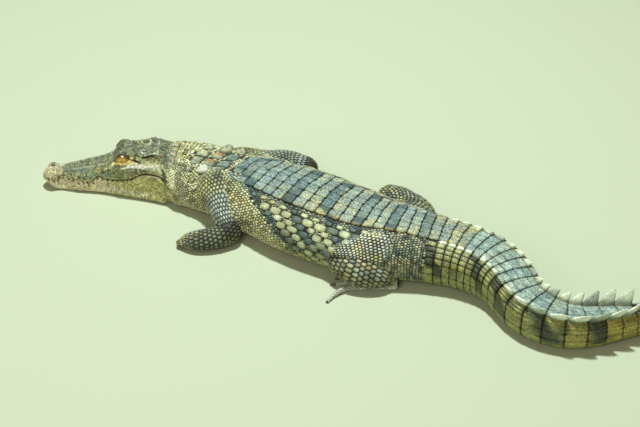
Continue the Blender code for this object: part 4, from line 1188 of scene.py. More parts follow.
IRIS = iris_finish()
for side, word in ((1, "left"), (-1, "right")):
    eyeball = turned_ball(f"eyeball_{word}", side, EYE_RADIUS)
    eyeball.data.materials.append(IRIS)
    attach(eyeball, "root")
    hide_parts(f"eye_{word}")

# ==== scales of the head
# Low, tight, many-sided scales on the skull, snout, cheeks and jaw, the smallest round the eyes and
# lips.  Each is a shallow dome over the hide; its corners are the middles of the triangles of a
# jittered brick lattice, so that neighbours fit each other.


def dome(corner_count, around, rings):
    """Template of a dome over a polygon.  Returns corner weights, share of the way out, height share
    and faces; rings are (share of the way out, height), from the inside out."""
    turn = np.arange(around) * math.tau / around
    if corner_count == 4:
        square = np.stack([np.cos(turn), np.sin(turn)], 1)
        square /= (np.abs(square) ** 9).sum(1, keepdims=True) ** (1 / 9)
        x, y = square.T
        rim = np.stack([(1 - x) * (1 - y), (1 + x) * (1 - y), (1 + x) * (1 + y), (1 - x) * (1 + y)], 1) / 4
    else:
        place = np.arange(around) * corner_count / around
        first = place.astype(int)
        part = (place - first)[:, None]
        eye = np.eye(corner_count)
        rim = eye[first] * (1 - part) + eye[(first + 1) % corner_count] * part
        rim = np.where(part > 0, rim * 1.0, rim * .96 + .04 / corner_count)
    middle = np.full((1, corner_count), 1 / corner_count)
    weights = np.concatenate([middle] + [middle * (1 - f) + rim * f for f, _ in rings])
    out = np.concatenate([[0.0]] + [np.full(around, f) for f, _ in rings])
    height = np.concatenate([[1.0]] + [np.full(around, h) for _, h in rings])
    pairs = [(a, (a + 1) % around) for a in range(around)]
    faces = [(0, 1 + a, 1 + b) for a, b in pairs]
    for near in range(1, 1 + (len(rings) - 1) * around, around):
        far = near + around
        faces += [(near + a, far + a, far + b, near + b) for a, b in pairs]
    last = 1 + (len(rings) - 1) * around
    faces.append(tuple(range(last + around - 1, last - 1, -1)))
    return weights, out, height, faces


def brick_cells(row_count, column_count, jitter, seed):
    """Jittered brick lattice.  Returns each cell's middle and six corners, in lattice steps (x, y)."""
    rng = np.random.default_rng(seed)
    y, x = np.mgrid[-1:row_count + 1, -1:column_count + 1].astype(float)
    x = x + .5 * (y % 2)
    x = x + rng.uniform(-jitter, jitter, x.shape)
    y = y + rng.uniform(-jitter, jitter, y.shape)
    spot = np.stack([x, y], -1)
    inner = spot[1:-1, 1:-1]
    odd = (np.arange(row_count) % 2 == 1)[:, None, None]

    def neighbour(up, when_even, when_odd):
        even_side, odd_side = (spot[1 + up:row_count + 1 + up, 1 + step:column_count + 1 + step]
                               for step in (when_even, when_odd))
        return np.where(odd, odd_side, even_side)
    ring = [neighbour(0, 1, 1), neighbour(1, 0, 1), neighbour(1, -1, 0), neighbour(0, -1, -1),
            neighbour(-1, -1, 0), neighbour(-1, 0, 1)]
    corners = np.stack([(inner + ring[k] + ring[(k + 1) % 6]) / 3 for k in range(6)], -2)
    return inner.reshape(-1, 2), corners.reshape(-1, 6, 2)


class ScaleCoat:
    """Gathers scales laid on sheets into one mesh."""

    def __init__(self):
        self.points, self.colours, self.uvs, self.faces, self.count = [], [], [], [], 0

    def add(self, points, colours, uvs, blocks):
        """Adds points (..., 3) with their colours and unwrap places, and blocks of faces on them."""
        self.faces += [block.reshape(-1, block.shape[-1]) + self.count for block in blocks]
        self.count += points.size // 3
        self.points.append(points.reshape(-1, 3))
        self.colours.append(colours.reshape(-1, 3))
        self.uvs.append(uvs.reshape(-1, 2))

    def lay(self, sheet, corners, template, height, colour, root_uv, tip=0.0, edge=.75, keel=None, lean=0.0,
            lines=None, bridge=0.0, fall=(0, .55, .9, 1.0)):
        """Lays one scale per row of corners (n, corner, 2), given in the sheet's rows and columns.

        A template point is the weighted mean of the corners, read from the sheet and lifted along its
        outward direction by height times the template's height share.  colour is one per scale, or a
        function of (rows, columns, points).  tip paints a highlight on the middle and edge paints shade on
        the rim, with the shares of the way out in fall; lines instead paints shade along the end edges and
        the side edges, with tip's highlight down the middle; keel(x, y) adds to the height share, bridge
        fills the grooves at the sides, lean shifts the middle in rows."""
        weights, out, share, faces = template
        spots = np.einsum("kc,ncd->nkd", weights, corners)
        spots[..., 0] += lean * np.clip(1 - out * 1.15, 0, 1) * np.ptp(corners[..., 0], axis=1)[:, None]
        points, outward = sheet.at(spots[..., 0], spots[..., 1])
        lift = share * np.ones((len(corners), 1))
        size = np.maximum(np.ptp(corners, axis=1)[:, None] / 2, 1e-9)
        x, y = np.moveaxis((spots - corners.mean(1, keepdims=True)) / size, -1, 0)
        if keel is not None:
            lift = lift + keel(x, y) * (share > 0)
        lift = lift + (1 - lift) * bridge * smooth(np.abs(y), .7, .95) * smooth(np.abs(x), .95, .8)
        points = points + outward * (lift * np.asarray(height).reshape(-1, 1))[..., None]
        points[..., 2] = np.maximum(points[..., 2], .0001)
        # Painted light: highlight towards each scale's middle (tip), shade towards its rim (edge) or edges
        # (lines).
        tone = np.interp(out, fall, (1 + tip, 1 + .25 * tip, 1 - .4 * (1 - edge), edge)) + 0 * x
        if lines is not None:
            tone = 1 - (1 - lines[0]) * smooth((np.abs(x) - 1) * size[..., 0], -.0009, -.0001)
            tone = tone * (1 - (1 - lines[1]) * smooth(np.abs(y), .9, 1.0)) + tip * (1 - out)
        paint = colour(spots[..., 0], spots[..., 1], points) if callable(colour) else colour[:, None]
        ring = np.zeros(len(out))
        ring[1:] = (np.arange(len(out) - 1) % len(faces[-1])) * math.tau / len(faces[-1])
        shift = np.stack([np.cos(ring), np.sin(ring)], 1) * out[:, None] * .0015
        base = np.arange(len(corners))[:, None, None] * len(out)
        by_size = [[face for face in faces if len(face) == n] for n in sorted({len(face) for face in faces})]
        self.add(points, np.clip(paint * tone[..., None], 0, .95), root_uv[:, None] + shift,
                 [base + np.array(block) for block in by_size])

    def made(self, name, slot, *grain):
        """The finished mesh object, in keratin of this grain: speck scale and depth, pebble scale,
        roughness, relief and coat."""
        mesh = bpy.data.meshes.new(name)
        faces = [face for block in self.faces for face in block.tolist()]
        mesh.from_pydata(np.concatenate(self.points), [], faces)
        spots = np.empty(len(mesh.loops), int)
        mesh.loops.foreach_get("vertex_index", spots)
        corner_layers(mesh, np.concatenate(self.uvs)[spots], np.concatenate(self.colours)[spots])
        mesh.shade_smooth()
        mesh.materials.append(keratin(name, *grain))
        obj = put(name, mesh)
        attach(obj, "root")
        return obj


LOW_DOME = dome(6, 6, ((.55, .9), (.84, .45), (.97, -.6)))
ROUND_DOME = dome(6, 12, ((.5, .92), (.8, .6), (.97, -.5)))


def jittered(colour, spread_share, seed):
    """Colours each made a little lighter or darker, and a little warmer or cooler."""
    rng = np.random.default_rng(seed)
    light = 1 + rng.uniform(-spread_share, spread_share, (len(colour), 1))
    return colour * light * (1 + rng.uniform(-1, 1, (len(colour), 1)) * (.05, .01, -.08))


def body_cells(start, end, half_arc, pitch, width, jitter, seed, cut_low=0.0):
    """Brick cells over the body between two stations, out to half_arc round each side.  Returns
    middles and corners in (station, turn)."""
    rows, columns = int((end - start) / pitch), int((half_arc - cut_low) / width)
    middles, corners = brick_cells(rows, columns, jitter, seed)

    def bent(spots, side):
        stations = start + (spots[..., 1] + .5) * pitch
        arcs = side * np.maximum(cut_low + (spots[..., 0] + .25) * width, 0.0)
        return np.stack([stations, turn_at(stations, arcs)], -1)
    return (np.concatenate([bent(middles, side) for side in (1, -1)]),
            np.concatenate([bent(corners, side)[:, ::side] for side in (1, -1)]))


head_coat = ScaleCoat()
middles, corners = body_cells(.0015, .225, half_arc=.125, pitch=.00275, width=.003, jitter=.24, seed=31)
station, turn = middles.T
u, t = station / HEAD_LENGTH, np.abs(turn)
flat = local_outline(station, turn)
kept = (np.abs(arc_length(station, turn)) < arc_length(station, 9 + 0 * turn) - .0012) & (t < 8.85)
kept &= ~inside_lids(u, turn) & (line_distance(flat, NOSTRIL)[0] > .0032)
for lid in (UPPER_LID, LOWER_LID):
    kept &= line_distance(flat, lid)[0] > .0021
kept &= (np.abs(below_mouth(station, turn)[0]) > .003) | (u > 1.07)
for drop, width, _, _, line in RELIEF:
    if drop < -.001:
        kept &= line_distance(flat, line)[0] > .9 * width
middles, corners, u, t = middles[kept], corners[kept], u[kept], t[kept]
roots, _ = body.at(*middles.T)
colour = jittered(hide_colour(*middles.T, roots), .5, 32)
height = np.interp(u, (0, .5, .9, 1.1), (.00028, .00036, .00055, .0008)) * np.where(t < 2, .7, 1.0)
height *= np.random.default_rng(33).uniform(.7, 1.2, len(height))
# Painted highlight on each scale's crown and painted shade round its rim (tip, edge).
head_coat.lay(body, corners, LOW_DOME, height, colour, body_uv(*middles.T, True), tip=.22, edge=.42)
head_coat.made("head_scales", "olive_scales", 1300.0, .6, 900.0, .5, .35, .05)

# ==== scales of the neck
# Small pebbly granules with larger pale tubercles, and on top the armour: a row of four scutes
# behind the skull, then the nuchal shield of big ridged scutes, well apart from the back's.
# Scutes: (station, turn, half length, half width in turns, ridge height).
NUCHAL = (
    (.211, .34, .006, .32, .003), (.21, 1.02, .0066, .32, .0032), (.217, 1.66, .005, .24, .0024),
    (.254, .42, .011, .4, .0036), (.281, .4, .0125, .38, .0046), (.283, 1.2, .0145, .4, .006),
    (.2535, 1.24, .0085, .3, .0034), (.3105, .42, .0125, .4, .004), (.311, 1.2, .0105, .34, .0036),
    (.2743, 2.36, .0054, .19, .004), (.2893, 3.06, .005, .18, .0034),
)
SCUTE = dome(4, 16, ((.28, .98), (.56, .9), (.8, .66), (.93, .26), (1.0, -.7)))


def rectangle_corners(stations, turns, half_lengths, half_widths):
    """Corners of plates whose sides follow the rows and columns of the body's sheet."""
    a = np.array([-1, -1, 1, 1]) * half_lengths[:, None] + stations[:, None]
    b = np.array([-1, 1, 1, -1]) * half_widths[:, None] + turns[:, None]
    return np.stack([a, b], -1)


def ridge(x, y):
    """Keel of a scute: a narrow ridge along its length that rises towards the rear."""
    return 1.5 * bell(y, .2) * np.clip(.55 + .45 * x, 0, 1) * smooth(np.abs(x), 1.0, .75)


def band_front(turns):
    """Station where the flank's scales take over from the neck's: the front of the shoulder's dark band."""
    band_turns, band_stations, half = BANDS[0]
    return np.interp(np.abs(turns), band_turns, band_stations) - half


def clear_of_limbs(points, margin=0.0):
    """True for points further than margin outside every upper and lower limb tube."""
    gaps = [tube_gap(points, made) for _, part, made in limb_lengths if part in ("upper", "lower")]
    return np.min(gaps, 0) > margin


neck_coat = ScaleCoat()
middles, corners = body_cells(.2, .48, half_arc=.15, pitch=.005, width=.0048, jitter=.46, seed=41)
station, turn = middles.T
t = np.abs(turn)
kept = (np.abs(arc_length(station, turn)) < arc_length(station, 9 + 0 * turn) - .002) & (t < 8.8)
kept &= (station < .3335) | (t > np.interp(station, (.3335, .345, .353, .354), (.92, .92, .95, 1.45)))
kept &= (station > np.interp(t, (0, 3, 5, 9), (.203, .206, .208, .208)))
kept &= (station < band_front(turn)) & ((t < 5.6) | (station < .349))
for scute_station, scute_turn, length, width, _ in NUCHAL:
    kept &= (np.abs(station - scute_station) > length * .96) | (np.abs(t - scute_turn) > width * .96)
kept[kept] = clear_of_limbs(body.at(*middles[kept].T)[0])
middles, corners = middles[kept], corners[kept]
roots, _ = body.at(*middles.T)
lumpy = np.random.default_rng(42).random(len(middles))
colour = jittered(hide_colour(*middles.T, roots), .3, 43)
colour = painted(colour, ((.62, .67, .45), .4 * smooth(lumpy, .8, .9)),
                 ((.4, .28, .09), .8 * ((lumpy > .1) & (lumpy < .112))))
height = (.0011 + .0012 * smooth(lumpy, .8, .95)) * np.interp(np.abs(middles[:, 1]), (4.5, 6), (1, .45))
# Painted highlight on each scale's crown and painted shade round its rim (tip, edge).
neck_coat.lay(body, corners, ROUND_DOME, height, colour, body_uv(*middles.T), tip=.6, edge=.1, lean=.1)
nuchal = np.concatenate([NUCHAL, np.array(NUCHAL) * (1, -1, 1, 1, 1)])


def nuchal_paint(stations, turns, points):
    """Speckled olive to slate, with an orange-brown crest along the keel; the middle pair is pale."""
    here, side = stations[:, :1], np.abs(turns[:, :1])
    pale = bell(here - .283, .008) * bell(turns[:, :1] - 1.2, .25)
    slate = bell(here - .3105, .009) * bell(side - .42, .3)
    across = np.abs(turns - turns[:, :1]) / nuchal[:, 3:4]
    behind = (stations - here) / nuchal[:, 2:3]
    crest = bell(across, .26) * smooth(behind, -.6, -.1) * smooth(behind, .95, .75)
    crest = crest * np.maximum(here < .22, bell(here - .281, .006) * (side < .8))
    crest = np.where(side > 2.9, 0, np.where(side > 2, np.exp(-(across ** 2 + behind ** 2) / .22), crest))
    speck = smooth(cloud(points, .003, 46), .52, .7)
    return painted(mix((.46, .49, .26), (.3, .41, .33), cloud(points, .006, 44)),
                   ((.17, .25, .235), .85 * slate), ((.72, .76, .62), pale),
                   ((.09, .11, .06), .6 * speck * (1 - pale)), ((.62, .67, .47), .85 * (side > 2)),
                   ((.4, .18, .035), .92 * crest))


# Painted highlight on each scute's crown and painted shade round its rim (tip, edge).
neck_coat.lay(body, rectangle_corners(*nuchal.T[:4]), SCUTE, nuchal[:, 4] * .95, nuchal_paint,
              body_uv(*nuchal.T[:2]), tip=.25, edge=.1, keel=ridge, fall=(0, .5, .86, 1.0))
neck_coat.made("neck_scales", "olive_scales", 1000.0, .4, 600.0, .58, .5, .03)

# ==== scutes of the back
# Bony scutes in cross rows from shoulder to tail root, three each side of the midline, near square,
# with a low keel.  Their rows carry on as the tail's whorls.
ROW_PITCH = ((.2, .0187), (.545, .0187), (.575, .015)) + WHORL_PITCH
BACK_START = .3335
PLATE_GAP = .0004
SLAB = dome(4, 20, ((.3, 1.0), (.6, .98), (.84, .92), (.95, .76), (1.0, -.5)))
ROW_LINE = np.linspace(.2, TOTAL_LENGTH, 3000)
ROW_RATE = 1 / keyed(ROW_LINE, ROW_PITCH)
ROW_COUNT = np.concatenate([[0], np.cumsum((ROW_RATE[1:] + ROW_RATE[:-1]) / 2 * np.diff(ROW_LINE))])
ROW_COUNT -= np.interp(TRUNK_END, ROW_LINE, ROW_COUNT)


def row_station(count):
    """Station of a cross row, counted from the tail's root; whole numbers are the rows' front edges."""
    return np.interp(count, ROW_COUNT, ROW_LINE)


def row_at(station):
    """Number of the cross row at a station, with its fraction."""
    return float(np.interp(station, ROW_LINE, ROW_COUNT))


def plate_rows(first_row, last_row, edges):
    """Plates between whole rows and between the turns that edges(station) gives, a hair apart along
    the body.  Returns middles and corners in (station, turn)."""
    rows = np.arange(first_row, last_row)
    front, rear = row_station(rows) + PLATE_GAP / 2, row_station(rows + 1) - PLATE_GAP / 2
    b = np.stack([edges(front)[:, :-1], edges(front)[:, 1:], edges(rear)[:, 1:], edges(rear)[:, :-1]], -1)
    a = np.stack([front, front, rear, rear], -1)[:, None] + 0 * b
    corners = np.stack([a, turn_at(a, arc_length(a, b))], -1).reshape(-1, 4, 2)
    return corners.mean(1), corners


def back_edges(stations):
    """Turns of the edges between the back's six columns."""
    outer = np.interp(stations, (.33, .36, .45, .56, .64, .72), (1.35, 1.62, 1.72, 1.62, 1.35, 1.25))
    return outer[:, None] * np.array([-1, -.64, -.31, 0, .31, .64, 1])


back_coat = ScaleCoat()
first_row = round(row_at(BACK_START))
middles, corners = plate_rows(first_row, 6, back_edges)
kept = (np.abs(middles[:, 1]) < .85) | (middles[:, 0] > .352)
middles, corners = middles[kept], corners[kept]
corners[..., 0] += .0012 * np.sin(np.abs(corners[..., 1]) * 2.2)
light = jittered(np.ones((len(middles), 3)), .12, 51)[:, None]
outermost = np.abs(middles[:, 1]) > .8 * back_edges(middles[:, 0])[:, -1]


def scute_paint(stations, turns, points):
    """The markings, one tone per scute, with ochre along the outer edge of the shield."""
    edge_turn = back_edges(stations.ravel())[:, -1].reshape(stations.shape)
    rim = smooth(np.abs(turns) / edge_turn, .86, .99) * smooth(cloud(points, .01, 52), .3, .55)
    snapped = .3 * stations + .7 * stations[:, :1]
    return mix(hide_colour(snapped, turns, points) * light, (.36, .28, .09),
               .8 * rim * smooth(stations, .42, .5))


def back_keel(x, y):
    """A low keel, and a rear edge that stands a little over the next row."""
    return (.45 * bell(y, .22) * np.clip(.5 + .5 * x, 0, 1) * smooth(np.abs(x), 1.0, .7)
            + .4 * smooth(x, -.4, .9))


height = np.where(outermost, .0029, .0021) * np.interp(middles[:, 0], (.34, .4, .65, .74), (.8, 1, 1, .8))
# Painted highlight down each scute's middle and painted shade along its seams (tip, lines).
back_coat.lay(body, corners, SLAB, height, scute_paint, body_uv(*middles.T), tip=.1, keel=back_keel,
              lines=(.14, .46), bridge=np.where(outermost, 0.0, .8)[:, None])
back_coat.made("back_scutes", "back_scales", 620.0, .8, 520.0, .52, .7, .05)

# ==== scales of the flanks
# Lengthwise rows of large pale ovals on dark hide, set in step with the back's rows, with small
# granules between them.
# Rows of ovals: (turn, half length, half width).
OVAL_ROWS = ((2.06, .0056, .0036), (2.5, .0088, .0058), (2.94, .0066, .0046), (3.36, .0082, .0054),
             (3.8, .008, .0052), (4.2, .008, .0052), (4.6, .0074, .0048), (5.05, .0068, .0044),
             (5.42, .006, .0036))
OVAL = dome(8, 16, ((.45, .97), (.76, .8), (.93, .42), (1.0, -.5)))
flank_coat = ScaleCoat()
ovals = []
rows = np.arange(first_row, 1)
for k, (oval_turn, half_length, half_arc) in enumerate(OVAL_ROWS):
    rng = np.random.default_rng(60 + k)
    here = row_station(rows + .5 * (k % 2)) + .008 + rng.uniform(-.0012, .0012, len(rows))
    for side in (1, -1):
        ovals.append(np.stack([here, side * (oval_turn + rng.uniform(-.05, .05, len(here))),
                               half_length * rng.uniform(.94, 1.16, len(here)),
                               half_arc * rng.uniform(.94, 1.12, len(here))], 1))
ovals = np.concatenate(ovals)
kept = clear_of_limbs(body.at(*ovals.T[:2])[0], .001) & (ovals[:, 0] < .59)
ovals = ovals[kept & (ovals[:, 0] > band_front(ovals[:, 1]) + .008)]
oval_stations, oval_turns, oval_lengths, oval_arcs = ovals.T
roots, _ = body.at(oval_stations, oval_turns)
around = np.arange(8) * math.tau / 8
oval_x, oval_y = (np.sign(v) * np.abs(v) ** .62 for v in (np.cos(around).round(9), np.sin(around).round(9)))
oval_centre_arc = arc_length(oval_stations, oval_turns)
corner_a = oval_stations[:, None] + oval_lengths[:, None] * oval_y
corner_b = turn_at(corner_a, oval_centre_arc[:, None] + oval_arcs[:, None] * oval_x)
colour = jittered(hide_colour(oval_stations, oval_turns, roots), .14, 66)
# Painted highlight on each oval's crown and painted shade round its rim (tip, edge).
flank_coat.lay(body, np.stack([corner_a, corner_b], -1), OVAL, np.full(len(ovals), .0023), colour,
               body_uv(oval_stations, oval_turns), tip=.35, edge=.4, lean=.05, fall=(0, .6, .92, 1.0))
middles, corners = body_cells(.34, .705, half_arc=.15, pitch=.004, width=.0038, jitter=.28, seed=67,
                              cut_low=.026)
station, t = middles[:, 0], np.abs(middles[:, 1])
arcs = arc_length(*middles.T)
apart = np.min(((middles[:, :1] - oval_stations) / (oval_lengths + .0005)) ** 2
               + ((arcs[:, None] - oval_centre_arc) / (oval_arcs + .0005)) ** 2, axis=1)
kept = (apart > 1) & (t > back_edges(station)[:, -1] + .06) & (t < 5.62) & (station > band_front(t))
kept &= (station < row_station(2) + .0004) & clear_of_limbs(body.at(*middles.T)[0])
middles, corners = middles[kept], corners[kept]
roots, _ = body.at(*middles.T)
groin = smooth(middles[:, 0], .575, .6)
streak = smooth(cloud(roots * (1, 1, .35), .0045, 69), .4, .6)
colour = painted(hide_colour(*middles.T, roots), (SLATE_BAND * 1.2, .52 + .2 * groin * streak),
                 ((.47, .48, .3), .7 * groin * (1 - streak)))
# Painted highlight on each granule's crown and painted shade round its rim (tip, edge).
flank_coat.lay(body, corners, LOW_DOME, np.full(len(middles), .0013), jittered(colour, .45, 68),
               body_uv(*middles.T), tip=.4, edge=.25, lean=.1)
flank_coat.made("flank_scales", "back_scales", 700.0, .45, 600.0, .56, .5, .03)

# ==== scales of the belly
# Smooth, flat, near-square plates in straight cross rows from the belly's edge to its midline.
BELLY_START = .35
BELLY_PITCH = .0118
BELLY_ROWS = 27
BELLY_SLAB = dome(4, 16, ((.5, 1.0), (.85, .85), (.96, .4), (1.0, -.4)))
belly_coat = ScaleCoat()
front = BELLY_START + np.arange(BELLY_ROWS) * BELLY_PITCH
edges = np.linspace(5.66, 8.98, 8)
a = np.stack([front, front, front + .011, front + .011], -1)[:, None] + np.zeros((1, 7, 1))
b = np.stack([edges[:-1], edges[1:], edges[1:], edges[:-1]], -1) + np.zeros((BELLY_ROWS, 1, 1))
b = turn_at(a, arc_length(a, b) + np.array([1, -1, -1, 1]) * .0004)
for side in (1, -1):
    corners = np.stack([a, side * b], -1).reshape(-1, 4, 2)[:, ::side]
    middles = corners.mean(1)
    kept = clear_of_limbs(body.at(*middles.T)[0])
    middles, corners = middles[kept], corners[kept]
    colour = jittered(hide_colour(*middles.T, body.at(*middles.T)[0]), .08, 71)
    # Painted shade round each plate's rim and a faint painted highlight (edge, tip).
    belly_coat.lay(body, corners, BELLY_SLAB, np.full(len(middles), .0014), colour, body_uv(*middles.T),
                   tip=.04, edge=.62)
belly_coat.made("belly_scales", "jaw_scales", 700.0, .25, 500.0, .5, .3, .05)

# ==== whorls and crest of the tail
# Rings of tall plates, one whorl behind another; on each whorl two upright crest scutes that lean
# outwards, until the twin crests run into a single one.  Each crest scute is a blade that rises
# slowly from its front and drops steeply at its rear.
LAST_ROW = int(row_at(TOTAL_LENGTH - .012))


def crest_turn(stations):
    """Turn on which the crest stands: high on each side, drawing in to the midline at the merge."""
    return np.interp(stations, (.6, .92, 1.0, 1.045), (1.42, 1.42, 1.05, 0.0))


def tail_edges(stations):
    """Turns of the edges of the plates down one side, from just beside the crest to the belly."""
    top = crest_turn(stations) + np.interp(stations, (.64, .75, 1.0, 1.05), (.0, .22, .3, .45))
    share = np.array([0, .07, .14, .22, .31, .42, .54, .67, .79, .9, 1.0])
    return top[:, None] + (8.97 - top[:, None]) * share


def saddle_edges(stations):
    """Turns of the edges of the flat plates between the crests."""
    outer = np.maximum(crest_turn(stations) - np.interp(stations, (.75, 1.0), (.22, .3)), 0.0)
    return outer[:, None] * np.array([0, .5, 1.0])


def rear_lift(x, y):
    """The rear edge of each plate stands a little over the next."""
    return .45 * smooth(x, -.2, 1.0)


TAIL_SLAB = dome(4, 16, ((.45, 1.0), (.8, .93), (.95, .74), (1.0, -.5)))
# Painted highlight (tip) and painted shade (edge, lines) for the tail's knobs and slabs.
KNOB_LOOK = {"tip": .35, "edge": .3, "fall": (0, .45, .86, 1.0)}
SLAB_LOOK = {"tip": .18, "lines": (.55, .8), "bridge": .55}
tail_coat = ScaleCoat()
for side in (1, -1):
    for edges, first, last in ((tail_edges, 2, LAST_ROW), (saddle_edges, 6, 24)):
        middles, corners = plate_rows(first, last, edges)
        middles, corners = middles * (1, side), (corners * (1, side))[:, ::side]
        kept = clear_of_limbs(body.at(*middles.T)[0]) & (np.ptp(corners[..., 1], axis=1) > .12)
        kept &= np.abs(middles[:, 1]) < 8.8
        middles, corners = middles[kept], corners[kept]
        light = jittered(np.ones((len(middles), 3)), .12, 81)[:, None]

        def plate_paint(stations, turns, points):
            """The markings, one tone per plate; between the crests they turn a clouded blue-grey, and the
            paler middle of each plate is a painted highlight.
            """
            marked = hide_colour(.4 * stations + .6 * stations[:, :1], turns, points) * light[chosen]
            pale = mix((.18, .29, .27), (.42, .54, .46), smooth(cloud(points, .005, 83), .45, .7))
            return mix(marked, pale, .6 * (edges is saddle_edges))
        height = np.interp(middles[:, 0], (.62, .9, 1.2, 1.305), (.0015, .0015, .0009, .0003))
        knobs = (middles[:, 0] < .87) & (np.abs(middles[:, 1]) < 3.6) & (edges is tail_edges)
        for chosen, template, rise, look in ((knobs, SCUTE, 1.5, KNOB_LOOK),
                                             (~knobs, TAIL_SLAB, 1.0, SLAB_LOOK)):
            if chosen.any():
                tail_coat.lay(body, corners[chosen], template, height[chosen] * rise, plate_paint,
                              body_uv(*middles[chosen].T), keel=rear_lift, **look)
tail_coat.made("tail_plates", "back_scales", 560.0, .62, 450.0, .54, .5, .05)


def crest_blades(side, rows):
    """Blades of one crest: along each whorl the height follows its tooth curve, and each cross
    section is half an ellipse set on the hide, leaning outwards.  Returns points, stations, turns and
    how high up the crest each point stands."""
    phase = np.linspace(.02, .995, 13)
    stations = row_station(rows[:, None] + phase)
    turns = side * crest_turn(stations)
    single = np.clip((stations - CREST_MERGE + .035) / .04, 0, 1)
    foot, _ = body.at(stations, turns)
    tailwards, leftwards = plan_ways(stations)
    lean = (CREST_LEAN * (1 - single))[..., None]
    rise = leftwards * side * np.sin(lean) + (0, 0, 1) * np.cos(lean)
    thick = unit(np.cross(rise, tailwards))
    tooth = np.interp(phase, (0, .15, .35, .55, .75, .9, .97, 1.0), (.1, .38, .7, .9, 1.0, .97, .8, .45))
    tall = keyed(stations, CREST_HEIGHT) * tooth + hide_depth(stations)
    base = np.interp(stations, (.64, .8, 1.0, 1.3), (.0038, .0042, .004, .0018))
    base = base * np.interp(phase, (0, .12, .8, 1.0), (.45, 1.0, .85, .25))
    angle = np.linspace(0, math.pi, 11)
    sweep = (tall * .36 * tooth)[..., None] * np.sin(angle)
    points = (foot[..., None, :]
              + (base[..., None] * np.cos(angle))[..., None] * thick[..., None, :]
              + (tall[..., None] * np.sin(angle) ** 1.25 - .0012)[..., None] * rise[..., None, :])
    points = points + sweep[..., None] * tailwards[..., None, :]
    return points, stations, turns, np.sin(angle) * tooth[None, :, None] + 0 * sweep


crest_coat = ScaleCoat()
for side, last_row, paleness, cover in ((1, LAST_ROW, 1.8, .95), (-1, int(row_at(CREST_MERGE)), 1.6, .7)):
    rows = np.arange(3, last_row)
    points, stations, turns, high = crest_blades(side, rows)
    roots = points[:, :, 0]
    base = mix(hide_colour(stations, turns, roots), (.2, .24, .19), .35)
    jitter = np.random.default_rng(82 + side).uniform(.85, 1.15, (len(rows), 1, 1))
    # Each blade darkens towards its root, painted shade.
    colour = base[:, :, None] * jitter[..., None] * (.55 + .45 * high[..., None])
    unbanded = 1 - .6 * smooth(banding(stations, turns, roots), .3, .9)
    # Pale top of each blade, partly its own colour and partly a painted highlight, stronger on the near
    # crest.
    colour = mix(colour, CREST_PALE_AND_HIGHLIGHT * paleness, cover * smooth(high, .3, .62) * unbanded[..., None])
    count, steps, ribs = points.shape[:3]
    ids = np.arange(count * steps * ribs).reshape(count, steps, ribs)
    sides = np.stack([ids[:, :-1, :-1], ids[:, 1:, :-1], ids[:, 1:, 1:], ids[:, :-1, 1:]], -1)
    sole = np.stack([ids[:, :-1, -1], ids[:, 1:, -1], ids[:, 1:, 0], ids[:, :-1, 0]], -1)
    x, y = np.linspace(-1, 1, steps)[None, :, None], np.linspace(-1, 1, ribs)[None, None, :]
    shift = np.stack(np.broadcast_arrays(x, y), -1) * .0015
    places = body_uv(stations[:, 6], turns[:, 6])[:, None, None] + shift
    crest_coat.add(points, np.clip(colour, 0, .9), places,
                   [block[..., ::-side] for block in (sides, sole, ids[:, 0], ids[:, -1, ::-1])])
tail_crest = crest_coat.made("tail_crest", "back_scales", 700.0, .3, 380.0, .45, .5, .12)
tail_crest.data.set_sharp_from_angle(angle=math.radians(60))

# ==== scales of the limbs
# Pointed scales with pale tips on thigh and arm, squarish plates on shank and forearm, fine scales on
# hands and feet, and short cross bands over the digits, each row overlapping the next a little.
# By tube: (lengthwise step, crosswise step, height, tip brightness, paleness); the tip brightness is a
# painted highlight, and on thigh and arm also their pale tips.
LIMB_SCALES = {
    "arm_upper": (.0062, .006, .0015, .6, .72), "arm_lower": (.006, .0064, .0015, 1.1, .1),
    "arm_palm": (.003, .0032, .0007, .45, .25), "leg_upper": (.0045, .0046, .0021, 2.6, .62),
    "leg_lower": (.0076, .0072, .0015, .55, .55), "leg_palm": (.0032, .0034, .0007, .4, .95),
    "arm_digit": (.0026, .0042, .0005, .35, .45), "leg_digit": (.003, .0044, .0005, .35, 1.2),
    "far_thigh": (.0072, .0072, .0021, .6, .62),
}
ARM_SHADE = body.at(np.array(.325), np.array(1.85))[0]
limb_coat = ScaleCoat()
